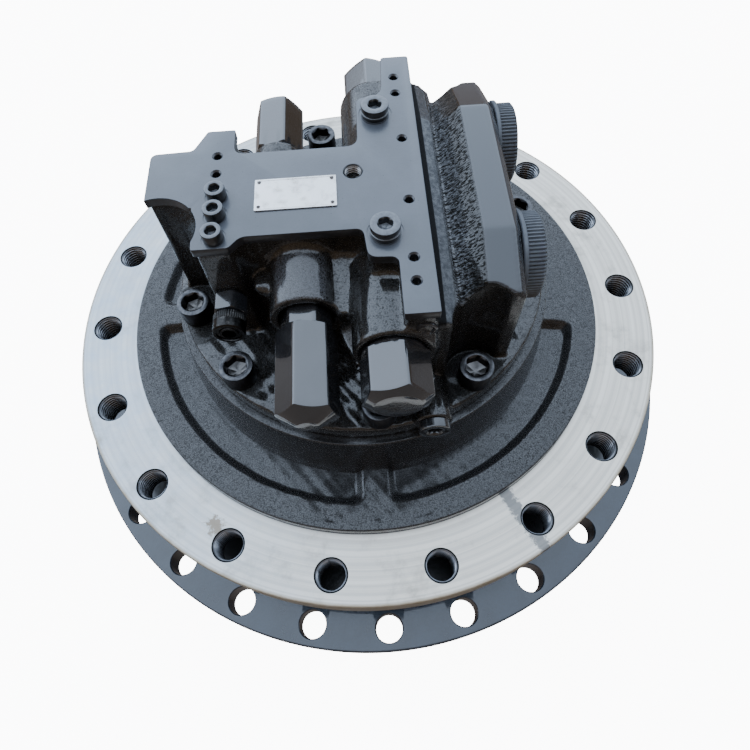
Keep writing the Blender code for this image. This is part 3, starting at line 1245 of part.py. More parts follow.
def valve_plate():
    """Plate with two kidney ports between the block and the rear cover."""
    low = BLOCK_TOP_Z + SEAT_GAP
    high = CASE_TOP_Z - SEAT_GAP
    plate = piece("valve_plate", tube(SHAFT_DIA / 2 + RUN_GAP, BLOCK_DIA / 2, low, high,
                                      SMALL_FACETS), bronze("valve_plate_bronze"))
    kidneys = []
    for side in (0.0, math.pi):
        angles = [side - math.radians(66) + math.radians(132) * i / 5 for i in range(6)]
        outline = [tuple(polar(PISTON_CIRCLE / 2 + 0.005, a).xy) for a in angles]
        outline += [tuple(polar(PISTON_CIRCLE / 2 - 0.005, a).xy) for a in reversed(angles)]
        kidneys.append(prism(outline, low - 0.002, high + 0.002))
    cut(plate, "kidney_ports", join(kidneys))


def comb(wall, back, edge, low, high, teeth):
    """Section of plates in a row: from wall to back, each plate reaching to edge."""
    outline = [(back, high), (back, low)]
    for z in teeth:
        outline += [(wall, z), (edge, z), (edge, z + BRAKE_PLATE), (wall, z + BRAKE_PLATE)]
    outline = [point for i, point in enumerate(outline) if i == 0 or point != outline[i - 1]]
    if outline[-1][1] < high:
        outline.append((wall, high))
    if outline[2][1] > low:
        outline.insert(2, (wall, low))
    return outline


def brake():
    """Multi-disc parking brake: discs on the block, plates in the case, piston and spring."""
    pitch = BRAKE_PLATE + SEAT_GAP
    low = BRAKE_LEDGE_Z + SEAT_GAP
    high = low + 2 * BRAKE_DISC_COUNT * pitch + BRAKE_PLATE
    outer = CHAMBER_DIA / 2 - RUN_GAP
    heights = [low + i * pitch for i in range(2 * BRAKE_DISC_COUNT + 1)]
    plates = comb(BRAKE_DISC_DIA / 2 + BRAKE_CLEAR, outer, BRAKE_PLATE_BORE / 2, low, high,
                  heights[0::2])
    discs = comb(BRAKE_PLATE_BORE / 2 - BRAKE_CLEAR, BLOCK_DIA / 2 + SEAT_GAP, BRAKE_DISC_DIA / 2,
                 low, high, heights[1::2])
    piece("brake_plates", turned(plates, SMALL_FACETS), gear_steel("brake_plate_steel"))
    piece("brake_discs", turned(discs, SMALL_FACETS), bronze("brake_disc_bronze"))
    piston_low = high + SEAT_GAP
    piston_top = piston_low + BRAKE_PISTON_HIGH
    inner = BRAKE_PLATE_BORE / 2 + 0.003
    ring = tube(inner, outer, piston_low, piston_top, SMALL_FACETS)
    piece("brake_piston", ring, gear_steel("brake_piston_steel"))
    spring_low = piston_top + SEAT_GAP
    spring_top = CASE_TOP_Z - SEAT_GAP
    thick = BRAKE_SPRING_THICK
    cone = [(inner, spring_low), (outer, spring_top - thick), (outer, spring_top),
            (inner, spring_low + thick)]
    piece("brake_spring", turned(cone, SMALL_FACETS), bearing_steel("brake_spring_steel"))


def clear_scene():
    for thing in list(bpy.data.objects):
        bpy.data.objects.remove(thing, do_unlink=True)


def build_gearbox():
    end_cover()
    ring_gear()
    hub()
    sun_gear_1()
    planets(1, PLANET_1_COUNT, PLANET_1_TEETH, PLANET_1_ORBIT, PIN_1_DIA, GEAR_1_Z, GEAR_1_TOP)
    carrier_1()
    sun_gear_2()
    planets(2, PLANET_2_COUNT, PLANET_2_TEETH, PLANET_2_ORBIT, PIN_2_DIA, GEAR_2_Z, GEAR_2_TOP)
    carrier_2()


def build_bearings():
    main_bearing("lower_bearing", LOWER_BEARING_Z, wide_end_up=False)
    main_bearing("upper_bearing", UPPER_BEARING_Z, wide_end_up=True)
    bearing_nut()
    face_seal()


def build_motor():
    motor_case()
    frame_flange()
    motor_bolts()
    rear_cover()
    valve_caps()
    counterbalance_spool()
    plugs_and_fittings()
    name_plate()
    port_covers()
    drive_shaft()
    shaft_bearings()
    swash_plate()
    cylinder_block()
    piston_set()
    valve_plate()
    brake()


clear_scene()
TOOL_MATERIAL = paint("tool", (0.5, 0.5, 0.5), 0.5, 0.0)
build_gearbox()
build_bearings()
build_motor()
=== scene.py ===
"""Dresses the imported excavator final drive: castings, machined faces, screws, caps and paint.

Sizes in the tables are millimetres, with heights measured from the frame flange's upper
face. Everything that reaches a mesh is in metres, in the frame of the CAD part.
"""

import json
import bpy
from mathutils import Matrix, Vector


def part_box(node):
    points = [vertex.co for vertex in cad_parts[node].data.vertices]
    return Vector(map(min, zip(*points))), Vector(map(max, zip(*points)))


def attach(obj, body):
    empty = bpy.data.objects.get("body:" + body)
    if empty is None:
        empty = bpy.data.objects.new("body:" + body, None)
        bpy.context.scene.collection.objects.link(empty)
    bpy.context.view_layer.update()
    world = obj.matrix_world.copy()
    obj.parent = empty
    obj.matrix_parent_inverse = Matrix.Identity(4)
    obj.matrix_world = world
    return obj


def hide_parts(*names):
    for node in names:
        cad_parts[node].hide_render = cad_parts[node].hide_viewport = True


bl_info = {
    "name": "Excavator final drive",
    "version": (1, 0, 0),
    "blender": (4, 5, 0),
    "location": "3D View > Sidebar > Final drive",
    "description": "Builds the looks of a hydraulic travel motor on its planetary hub",
    "category": "Object",
}

import bmesh
import bpy
import numpy as np
from bpy.props import FloatProperty, FloatVectorProperty, IntProperty, PointerProperty
from mathutils import Matrix, Vector

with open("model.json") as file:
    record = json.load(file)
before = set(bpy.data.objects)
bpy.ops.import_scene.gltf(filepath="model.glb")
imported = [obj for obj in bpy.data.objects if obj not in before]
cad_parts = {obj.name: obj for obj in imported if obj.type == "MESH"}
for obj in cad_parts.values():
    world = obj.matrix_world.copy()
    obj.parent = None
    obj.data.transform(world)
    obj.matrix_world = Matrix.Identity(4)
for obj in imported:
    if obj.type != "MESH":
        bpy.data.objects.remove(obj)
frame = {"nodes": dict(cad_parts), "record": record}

MM = 0.001
TAU = 2 * np.pi
MOUNTS = {mount["name"]: mount["pos_m"] for mount in frame["record"]["mounts"]}
FACE = MOUNTS["frame_flange_face"][2]
FIXED = "drive_body"
TURNING = "hub_body"
# How far screws, caps and plugs stand off their seats
SEAT_GAP = 0.3

# Bare flange: inner radius, first hole in degrees, bore and crest radius of the threads
PILOT_WALL = 199.6
FIRST_FRAME_HOLE = 0.9
THREAD_BORE = 12.5
THREAD_CREST = 10.4

# Hub's rim above its sprocket flange, and the height of that flange in metres
HUB_RIM = 36.0
HUB_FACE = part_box("hub")[1].z - HUB_RIM * MM
# Hub, ring gear and end cover: radii, first hole in degrees, counts
BARREL = 235.0
SPROCKET_RADIUS = 277.5
SPROCKET_CIRCLE = 260.0
FIRST_SPROCKET_HOLE = 256.7
RING_TEETH = 52
OIL_PLUG_CIRCLE = 150.0
OIL_PLUGS = (90, 225)
COVER_SCREW_CIRCLE = 215.0
COVER_SCREWS = 18

# Motor screws: angle in degrees, and the radius of the scallop that clears the head
MOTOR_SCREWS = ((14, 0), (58, 17), (102, 0), (150, 0), (197, 26.5), (226, 0), (273, 0),
                (305, 21.5))
MOTOR_SCREW_CIRCLE = 131.0
# Cover: height of its disc, and of its machined top and how thick that is
DISC_TOP = 64.0
PLATE_TOP = 158.0
PLATE_THICK = 6.5
# Machined top: corner x, y and rounding
TOP_OUTLINE = (
    (45, -111.5, 1), (45, 111.5, 2.5), (25, 111.5, 2.5), (23, 71, 9), (5, 69, 6), (4, 23, 8),
    (-78, 23, 7), (-78, 46, 1.5), (-97, 46, 1.5), (-106, 28.5, 3), (-134, 27.5, 5),
    (-134, -22, 2), (-103, -22, 1), (-101, -56, 1.5), (-78, -56, 2), (-71, -48, 4),
    (4, -48, 5), (6, -70, 6), (24, -71, 5), (24, -111.5, 1),
)
# Valves and drain: x and height of the axis
SPOOL = (18, 114)
RELIEF_FRONT = (-38, 104)
RELIEF_BACK = (-61, 92)
DRAIN = (43, 64.5)
# Main ports: y and name of each, height of the axes, outer face of their block
PORTS = ((-51, "front"), (51, "back"))
PORT_HEIGHT = 125
PORT_FACE = 100.5
# Round bosses along Y: axis, radius, start and reach from the middle, side
ROUND_BOSSES = (
    (SPOOL, 26, 10, 112, -1), (SPOOL, 26, 10, 112, 1), (RELIEF_FRONT, 24.5, 12, 76, -1),
    (RELIEF_BACK, 20, 12, 86, 1), ((-10, 111), 7, 10, 82, -1),
)
# Their bores: axis, radius, first and last y
BOSS_BORES = (
    (SPOOL, 14, -120, 120), (SPOOL, 21.5, -120, -109), (SPOOL, 21.5, 109, 120),
    (RELIEF_FRONT, 19.0, -80, -66), (RELIEF_BACK, 12.5, 76, 90),
)
# Hexagon caps on them: name, axis, seat from the middle, side, width across flats, length,
# radius of the tip and of the shank, turn in degrees, length of the neck
CAPS = (
    ("spool_cap_front", SPOOL, 112, -1, 40, 36, 15, 13.4, 14, 1.5),
    ("spool_cap_back", SPOOL, 112, 1, 40, 36, 15, 13.4, 22, 1.5),
    ("relief_cap_front", RELIEF_FRONT, 76, -1, 36, 77, 7, 11.7, -14, 11.5),
    ("relief_cap_back", RELIEF_BACK, 86, 1, 36, 60, 8, 11.7, -9, 1.0),
)
# Holes and plugs in the machined top: x and y
LIFTING_HOLE = ((0, 0),)
SCREW_HOLES = ((33, 89), (33, 72), (34, 27), (34, -27), (33, -72), (33, -89), (-89, 22), (-89, 6))
PILOT_PLUGS = ((-87, -14), (-87, -30), (-87, -48))
PASSAGE_PLUGS = ((17.5, -52), (17.5, 52))
# Cast pockets in the case's level face: first and last angle in degrees, outer radius,
# depth, and width of the ribs between them
POCKETS = ((-90, -8), (-180, -90), (-270, -180), (-318, -270))
POCKET_OUTER = 180.0
POCKET_DEEP = 7.5
POCKET_RIB = 18.0

# Triangles that the cover's casting may have
MOST_TRIANGLES = 180000

# Camera: lens, place in metres, and the directions of the picture's right, down and depth
CAMERA_LENS = 27.34
CAMERA_PLACE = (0.00516, -0.28312, FACE + 0.42748)
CAMERA_RIGHT = (0.9976, -0.06195, -0.03105)
CAMERA_DOWN = (-0.06929, -0.8919, -0.4470)
CAMERA_AHEAD = (0.0, 0.4481, -0.8940)


# Curves and grids
def eased(corners, radii, closed=True, steps=4):
    """Polyline with rounded corners.

    Each corner gives way to a parabola that leaves one side and meets the next at the same
    distance from the corner.
    """
    corners = np.asarray(corners, float)
    share = np.linspace(0, 1, steps + 1)[:, None]
    runs = []
    for i, (here, radius) in enumerate(zip(corners, radii)):
        if radius <= 0 or (not closed and i in (0, len(corners) - 1)):
            runs.append(here[None])
            continue
        ends = []
        for other in (corners[i - 1], corners[(i + 1) % len(corners)]):
            side = other - here
            ends.append(here + side * min(radius / np.linalg.norm(side), 0.49))
        runs.append((1 - share) ** 2 * ends[0] + 2 * share * (1 - share) * here
                    + share**2 * ends[1])
    return np.concatenate(runs)


def around(count):
    """Angles of a full turn."""
    return np.arange(count) * (TAU / count)


def rings(rows, angles):
    """Grid of rings: each row is a radius and a height, as numbers or one value per angle."""
    radius = np.array([np.broadcast_to(row[0], angles.shape) for row in rows])
    height = np.array([np.broadcast_to(row[1], angles.shape) for row in rows])
    return np.stack([radius * np.cos(angles), radius * np.sin(angles), height], -1)


def skinned(points, loop=False):
    """Quads over a grid of points whose last column meets its first. With loop, the rows too."""
    rows, columns = points.shape[:2]
    index = np.arange(rows * columns).reshape(rows, columns)
    index = np.hstack([index, index[:, :1]])
    if loop:
        index = np.vstack([index, index[:1]])
    quads = np.stack([index[:-1, :-1], index[:-1, 1:], index[1:, 1:], index[1:, :-1]], -1)
    return points.reshape(-1, 3), quads.reshape(-1, 4).tolist()


def revolved(rows, angles, loop=False):
    """Skin of rows of radius and height in millimetres, as numbers or one value per angle."""
    return skinned(rings([(np.asarray(r) * MM, np.asarray(z) * MM) for r, z in rows], angles),
                   loop)


def turned(profile, count, loop=True):
    """A profile of radius and height in millimetres, carried round +Z."""
    return revolved(profile, around(count), loop)


def gathered(shapes):
    """Several shapes as one list of points and one of faces."""
    points, faces, start = [], [], 0
    for these, loops in shapes:
        points.append(these)
        faces += [[index + start for index in loop] for loop in loops]
        start += len(these)
    return np.concatenate(points), faces


def laid(shape, axis=(0, 0, 1), at=(0, 0, 0), turn=0.0):
    """A shape turned about +Z, its +Z tipped to an axis, and moved to a point in metres."""
    points, faces = shape
    tip = Vector((0, 0, 1)).rotation_difference(Vector(axis)).to_matrix()
    matrix = np.array(tip @ Matrix.Rotation(turn, 3, "Z"))
    return points @ matrix.T + np.asarray(at, float), faces


def on_circle(radius, degrees, height=0.0):
    """A point in metres from a radius and height in millimetres and an angle."""
    angle = np.radians(degrees)
    return (radius * np.cos(angle) * MM, radius * np.sin(angle) * MM, height)


def hex_ring(across, easing=1.0, per_side=5):
    """Angles and radii of a hexagon with eased corners, with points along its flats too."""
    corner = across / np.sqrt(3)
    points = [(corner * np.cos(a), corner * np.sin(a)) for a in around(6)]
    loop = eased(points, [easing] * 6, steps=4)
    sides = np.roll(loop, -5, axis=0)[::5]
    ends = loop[4::5]
    share = np.linspace(0, 1, per_side + 2)[1:-1, None, None]
    flats = (ends[None] * (1 - share) + sides[None] * share).transpose(1, 0, 2)
    whole = np.concatenate([np.concatenate([loop[5 * i:5 * i + 5], flats[i]]) for i in range(6)])
    angles = np.unwrap(np.arctan2(whole[:, 1], whole[:, 0]))
    return angles, np.hypot(whole[:, 0], whole[:, 1])


def slab(outline, low, high, ease=0.5):
    """An outline carried up between two heights, with its two rims eased by a quarter round.

    A row of the rim stands in from the outline by ease times one minus the sine of its
    angle, along the outline's own normals.
    """
    ahead = np.roll(outline, -1, axis=0) - outline
    behind = outline - np.roll(outline, 1, axis=0)
    along = (ahead / np.maximum(np.linalg.norm(ahead, axis=1, keepdims=True), 1e-9)
             + behind / np.maximum(np.linalg.norm(behind, axis=1, keepdims=True), 1e-9))
    along /= np.maximum(np.linalg.norm(along, axis=1, keepdims=True), 1e-9)
    inward = np.stack([-along[:, 1], along[:, 0]], -1)
    turns = np.linspace(0, np.pi / 2, 4)
    rows = [(ease * (1 - np.sin(t)), low + ease * (1 - np.cos(t))) for t in turns]
    rows += [(ease * (1 - np.cos(t)), high - ease * (1 - np.sin(t))) for t in turns]
    grid = np.array([np.column_stack([outline + inward * inset, np.full(len(outline), z)])
                     for inset, z in rows])
    points, faces = skinned(grid * MM)
    count = len(outline)
    faces.append(list(range(count))[::-1])
    faces.append(list(range(len(points) - count, len(points))))
    return points, faces


# Solids from a field of distances
def joined(a, b, reach):
    """Smooth union of two distance fields: nearer than reach, they flow into each other."""
    share = np.clip(0.5 + 0.5 * (b - a) / reach, 0, 1)
    return b + (a - b) * share - reach * share * (1 - share)


def both(a, b, reach):
    """Smooth intersection of two distance fields."""
    return -joined(-a, -b, reach)


def dug(a, b, reach):
    """The first field without the second."""
    return -joined(-a, b, reach)


def outline_distance(outline, x, y):
    """Signed distance from an outline, on the grid of x and y: below zero inside."""
    px, py = np.meshgrid(x, y, indexing="ij")
    nearest = np.full(px.shape, np.inf)
    inside = np.zeros(px.shape, bool)
    for (ax, ay), (bx, by) in zip(outline, np.roll(outline, -1, axis=0)):
        ex, ey = bx - ax, by - ay
        length = max(ex * ex + ey * ey, 1e-12)
        share = np.clip(((px - ax) * ex + (py - ay) * ey) / length, 0, 1)
        nearest = np.minimum(nearest, np.hypot(px - ax - share * ex, py - ay - share * ey))
        if ay != by:
            inside ^= ((ay > py) != (by > py)) & (px < ax + (py - ay) * ex / ey)
    return np.where(inside, -nearest, nearest)


def cast_lumps(x_mm, y_mm):
    """Slow unevenness of a cast face: the sum of three crossing waves, in millimetres."""
    return (0.30 * np.sin(0.19 * x_mm + 0.11 * y_mm) + 0.25 * np.sin(0.31 * y_mm - 0.17 * x_mm)
            + 0.18 * np.sin(0.52 * x_mm + 0.41 * y_mm))


def surface_of(field, origin, step):
    """Closed skin of a distance field on a grid of points.

    Every cell that the surface crosses has one vertex, the mean of the points where its
    edges are crossed. Every crossed edge has one quad between the four cells round it.
    """
    inside = field < 0
    cells = tuple(n - 1 for n in field.shape)
    total = np.zeros(cells + (3,), np.float32)
    count = np.zeros(cells, np.float32)
    crossings = []
    for axis in range(3):
        low = [slice(None)] * 3
        high = [slice(None)] * 3
        low[axis] = slice(None, -1)
        high[axis] = slice(1, None)
        first, last = field[tuple(low)], field[tuple(high)]
        where = np.argwhere(inside[tuple(low)] != inside[tuple(high)])
        at = tuple(where.T)
        point = where.astype(np.float32)
        point[:, axis] += first[at] / (first[at] - last[at])
        others = [a for a in range(3) if a != axis]
        around_edge = []
        for da, db in ((0, 0), (1, 0), (1, 1), (0, 1)):
            cell = where.copy()
            cell[:, others[0]] -= da
            cell[:, others[1]] -= db
            np.add.at(total, tuple(cell.T), point)
            np.add.at(count, tuple(cell.T), 1)
            around_edge.append(cell)
        outward = inside[tuple(low)][at]
        crossings.append((axis, around_edge, outward))
    used = count > 0
    number = np.full(cells, -1)
    number[used] = np.arange(used.sum())
    points = total[used] / count[used][:, None] * step + np.asarray(origin, np.float32)
    quads = []
    for axis, around_edge, outward in crossings:
        quad = np.stack([number[tuple(cell.T)] for cell in around_edge], -1)
        flip = outward if axis == 1 else ~outward
        quad[flip] = quad[flip][:, ::-1]
        quads.append(quad)
    return points * MM, np.concatenate(quads).tolist()


# Blender meshes and objects
def raw_object(name, shape):
    """An object of plain points and faces, linked to the scene."""
    mesh = bpy.data.meshes.new(name)
    points, faces = shape
    mesh.from_pydata(points.tolist(), [], faces)
    thing = bpy.data.objects.new(name, mesh)
    bpy.context.scene.collection.objects.link(thing)
    return thing


def weld(mesh):
    """Merges doubled points and turns every face out."""
    work = bmesh.new()
    work.from_mesh(mesh)
    bmesh.ops.remove_doubles(work, verts=work.verts, dist=2e-6)
    bmesh.ops.recalc_face_normals(work, faces=work.faces)
    work.to_mesh(mesh)
    work.free()


def taken(thing):
    """Points and faces of an object as its modifiers leave it; the object is removed."""
    bpy.context.view_layer.update()
    graph = bpy.context.evaluated_depsgraph_get()
    mesh = thing.evaluated_get(graph).to_mesh()
    points = np.zeros(len(mesh.vertices) * 3)
    mesh.vertices.foreach_get("co", points)
    faces = [list(face.vertices) for face in mesh.polygons]
    bpy.data.objects.remove(thing)
    return points.reshape(-1, 3), faces


def carved(solid, cutters):
    """The solid without the cutters, by Blender's exact Boolean."""
    whole = raw_object("solid", solid)
    cutter = raw_object("cutter", gathered(cutters))
    for thing in (whole, cutter):
        weld(thing.data)
    step = whole.modifiers.new("cut", "BOOLEAN")
    step.solver = "EXACT"
    step.object = cutter
    points, faces = taken(whole)
    bpy.data.objects.remove(cutter)
    if len(faces) < len(solid[1]) // 2:
        raise RuntimeError("the cutters left nothing of the solid")
    return points, faces


def thinned(shape, share):
    """The same surface with fewer triangles where it is flat."""
    thing = raw_object("thinned", shape)
    step = thing.modifiers.new("thin", "DECIMATE")
    step.ratio = share
    return taken(thing)


def piece(name, shape, finish, stands_for=(), body=FIXED, crease=38.0):
    """Makes the named object, says what it rides on and is finished in, and hides the parts that
    it stands for.
    """
    thing = raw_object(name, shape)
    weld(thing.data)
    thing.data.shade_smooth()
    thing.data.set_sharp_from_angle(angle=np.radians(crease))
    thing.data.materials.append(finish)
    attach(thing, body)
    if stands_for:
        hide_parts(*stands_for)
    return thing


# Shader building
def times(colour, factor):
    """A colour made lighter or darker by one factor."""
    return tuple(c * factor for c in colour)


class Number:
    """A shader value that Python's arithmetic acts on, each step as one Math node."""

    def __init__(self, finish, socket):
        self.finish = finish
        self.socket = socket

    def math(self, operation, *values):
        """One Math node over the values."""
        node = self.finish.node("ShaderNodeMath", {"operation": operation},
                                dict(enumerate(values)))
        return Number(self.finish, node.outputs[0])

    def __add__(self, other):
        return self.math("ADD", self, other)

    def __sub__(self, other):
        return self.math("SUBTRACT", self, other)

    def __mul__(self, other):
        return self.math("MULTIPLY", self, other)

    def __rsub__(self, other):
        return self.math("SUBTRACT", other, self)

    def __truediv__(self, other):
        return self.math("DIVIDE", self, other)

    def __pow__(self, other):
        return self.math("POWER", self, other)

    __radd__ = __add__
    __rmul__ = __mul__

    def size(self):
        return self.math("ABSOLUTE", self)

    def least(self, other):
        return self.math("MINIMUM", self, other)

    def most(self, other):
        return self.math("MAXIMUM", self, other)

    def rise(self, low, high):
        """Zero below low and one above high, smooth between."""
        node = self.finish.node("ShaderNodeMapRange", {"interpolation_type": "SMOOTHSTEP"},
                                {0: self, 1: low, 2: high, 3: 0.0, 4: 1.0})
        return Number(self.finish, node.outputs[0])

    def span(self, start, full, fading, end):
        """One from full to fading, zero before start and after end, smooth between."""
        return self.rise(start, full) * (1 - self.rise(fading, end))


class Shading:
    """A node tree and the one way that nodes are added to it."""

    def __init__(self, tree):
        self.tree = tree

    def feed(self, node, sockets):
        """Links or sets a node's sockets."""
        for key, value in sockets.items():
            if isinstance(value, Number):
                value = value.socket
            if isinstance(value, bpy.types.NodeSocket):
                self.tree.links.new(value, node.inputs[key])
            elif isinstance(value, tuple) and len(value) == 3 and node.inputs[key].type == "RGBA":
                node.inputs[key].default_value = (*value, 1.0)
            else:
                node.inputs[key].default_value = value

    def node(self, kind, settings, sockets):
        """Adds a node: its settings first, then the values or links of its sockets."""
        made = self.tree.nodes.new(kind)
        for key, value in settings.items():
            setattr(made, key, value)
        self.feed(made, sockets)
        return made

    def tint(self, share, first, second):
        """Colour between two others."""
        node = self.node("ShaderNodeMix", {"data_type": "RGBA"}, {0: share, 6: first, 7: second})
        return node.outputs[2]


class Finish(Shading):
    """A Principled material and the nodes that feed it."""

    def __init__(self, name, **sockets):
        self.material = bpy.data.materials.new(name)
        self.material.use_nodes = True
        super().__init__(self.material.node_tree)
        self.shader = self.tree.nodes["Principled BSDF"]
        self.places = self.node("ShaderNodeTexCoord", {}, {})
        self.place = self.places.outputs["Object"]
        split = self.node("ShaderNodeSeparateXYZ", {}, {0: self.place})
        self.x, self.y, self.z = (Number(self, out) for out in split.outputs)
        self.principled(sockets)

    def principled(self, sockets):
        """Links or sets the shader's own sockets, named with underscores for spaces."""
        self.feed(self.shader, {key.replace("_", " ").title().replace("Ior", "IOR"): value
                                for key, value in sockets.items()})

    def noise(self, scale, detail=3.0, roughness=0.5, place=None):
        """Noise over the object's own place, or over another."""
        node = self.node("ShaderNodeTexNoise", {},
                         {"Vector": place or self.place, "Scale": scale, "Detail": detail,
                          "Roughness": roughness})
        return Number(self, node.outputs[0])

    def band_noise(self, value, scale, detail=3.0):
        """Noise along one value, such as a radius."""
        node = self.node("ShaderNodeTexNoise", {"noise_dimensions": "1D"},
                         {"W": value, "Scale": scale, "Detail": detail})
        return Number(self, node.outputs[0])

    def cells(self, scale, feature="F1"):
        """Distance from the nearest of many scattered points, for pits and specks."""
        node = self.node("ShaderNodeTexVoronoi", {"feature": feature},
                         {"Vector": self.place, "Scale": scale})
        return Number(self, node.outputs["Distance"])

    def stretched(self, turn, scale):
        """Object coordinates turned and scaled, for a pattern that runs one way."""
        node = self.node("ShaderNodeMapping", {},
                         {"Vector": self.place, "Rotation": turn, "Scale": scale})
        return node.outputs[0]

    def facing_up(self):
        """One on a level face, zero on a wall."""
        split = self.node("ShaderNodeSeparateXYZ", {}, {0: self.places.outputs["Normal"]})
        return Number(self, split.outputs[2])

    def radius(self):
        """Distance from the drive's axis."""
        return (self.x * self.x + self.y * self.y) ** 0.5

    def away(self, x, y):
        """Distance from another upright line."""
        return ((self.x - x) ** 2.0 + (self.y - y) ** 2.0) ** 0.5

    def bump(self, height, distance):
        """Normal of a surface with this relief."""
        node = self.node("ShaderNodeBump", {},
                         {"Strength": 1.0, "Distance": distance, "Height": height})
        return node.outputs[0]

    def finished(self, **sockets):
        """The material, once its varying sockets are fed."""
        self.principled(sockets)
        return self.material


def cast_paint(colour):
    """Thick gloss paint over sand casting: pits, grains and slow lumps under the gloss."""
    f = Finish("case_cast_paint", ior=1.5, coat_roughness=0.22, coat_ior=1.7,
               specular_ior_level=0.3)
    grains = f.noise(1150.0, 2.0, 0.62)
    lumps = f.noise(320.0, 2.0, 0.5)
    pits = f.cells(620.0, "SMOOTH_F1")
    height = grains * 1.9 + pits * 0.6 + lumps
    return f.finished(base_color=f.tint(grains.rise(0.35, 0.75), colour, times(colour, 2.0)),
                      roughness=grains * 0.22 + 0.14,
                      coat_weight=(grains * 1.6 + lumps * 0.4).rise(0.82, 1.02) * 0.7 + 0.3,
                      normal=f.bump(height, 0.0011))


def cover_cast_paint(colour):
    """The cover's casting paint, one place after another.

    It is grained all over, smooth and glossy on the port block's top, half smooth on the
    front relief boss and painted lighter on its top as a painted highlight, mottled on the
    low band, streaked like hide in the valley between block and band, where the shaded left
    slope is painted a lighter grey as painted light, less glossy in the wide scallops, and
    dull and painted black in the gap beside the milled top as painted shade.
    """
    f = Finish("cover_cast_paint", ior=1.5, coat_roughness=0.12, coat_ior=1.7,
               specular_ior_level=0.3)
    grains = f.noise(900.0, 3.0, 0.62)
    lumps = f.noise(240.0, 2.0, 0.5)
    pits = f.cells(520.0, "SMOOTH_F1")
    hide = f.noise(1.0, 1.0, 0.5, place=f.stretched((0, 0, -0.85), (250.0, 820.0, 360.0)))
    inside = 0.0
    for angle, reach in MOTOR_SCREWS:
        if reach > 20:
            x, y, _ = on_circle(MOTOR_SCREW_CIRCLE, angle)
            off = f.away(x, y)
            inside = (1 - off.rise((reach + 0.6) * MM, (reach + 1.4) * MM)) + inside
    up = f.facing_up()
    over = f.z.rise(FACE + 0.134, FACE + 0.139)
    valley = (f.x.span(0.0560, 0.0585, 0.0755, 0.0765) * f.z.rise(FACE + 0.110, FACE + 0.118)
              * up.rise(0.02, 0.15))
    block = f.x.rise(0.0762, 0.0768) * up.rise(0.55, 0.75) * f.z.rise(FACE + 0.120, FACE + 0.130)
    band = f.x.span(0.0445, 0.0450, 0.0550, 0.0585) * up.rise(0.4, 0.7) * over
    smooth = block.most(band * 0.85)
    # Front relief boss's top: smoother, glossier, and painted lighter as a painted highlight
    boss = ((1 - (f.x + 0.039).size().rise(0.014, 0.021)) * (1 - f.y.rise(-0.048, -0.043))
            * up.rise(0.55, 0.80) * f.z.rise(FACE + 0.112, FACE + 0.118))
    # Painted light: the valley's shaded left slope is painted a lighter grey in hide streaks
    trench = valley * (1 - f.x.rise(0.0640, 0.0720)) * (hide.rise(0.43, 0.54) * 0.95 + 0.05)
    # Painted shade: a dull near-black strip in the gap beside the milled top
    gap = f.x.span(0.0440, 0.0445, 0.0492, 0.0500) * over
    rough = 1 - smooth.most(boss * 0.4)
    height = (grains * 1.3 + pits * 0.6 + lumps * 0.8) * rough + hide * valley * 6.5
    olive = tuple(c * scale for c, scale in zip(colour, (3.4, 3.0, 2.0)))
    dark = f.tint(grains.rise(0.35, 0.75), colour, olive)
    shine = ((grains * 1.4 + lumps * 0.6).rise(0.80, 1.0) * 0.65 + 0.35) * (1 - valley)
    leather = (hide.rise(0.43, 0.55) * 0.74 + 0.06) * valley
    mottled = f.noise(300.0, 4.0, 0.65).rise(0.38, 0.64) * 0.62 + 0.18
    # Painted highlight: the boss top is painted a lighter grey where the grains rise
    dark = f.tint(boss * grains.rise(0.30, 0.60), dark, (0.075, 0.079, 0.088))
    face = f.tint(smooth, f.tint(trench, dark, (0.150, 0.160, 0.175)), (0.022, 0.027, 0.034))
    return f.finished(base_color=f.tint(gap, face, (0.002, 0.0025, 0.003)),
                      roughness=grains * 0.22 * rough + 0.14 + smooth * 0.14 + gap * 0.6,
                      coat_weight=((shine + leather) * (1 - inside * 0.65)).most(block).most(
                          boss).least(1 - band * (1 - mottled)) * (1 - gap),
                      normal=f.bump(height, 0.0011))


def plate_paint(colour):
    """Satin paint on a milled face: faint orange peel, specks, soft smears and a painted
    reflection on top.
    """
    f = Finish("top_plate_paint", ior=1.5, coat_weight=0.8, coat_roughness=0.22, coat_ior=1.6)
    peel = f.noise(900.0, 2.0)
    smear = f.noise(38.0, 4.0, 0.6)
    speck = f.cells(160.0).rise(0.035, 0.075)
    up = f.facing_up().rise(0.6, 0.9)
    face = f.tint(smear.rise(0.3, 0.7), colour, times(colour, 1.25))
    # Painted reflection: level faces take the blue-grey, walls stay near-black; dark specks dot
    # the top
    return f.finished(base_color=f.tint(up * (speck * 0.5 + 0.5), (0.012, 0.013, 0.016), face),
                      roughness=smear * 0.14 + 0.27,
                      normal=f.bump(peel + smear * 0.6, 0.00008))


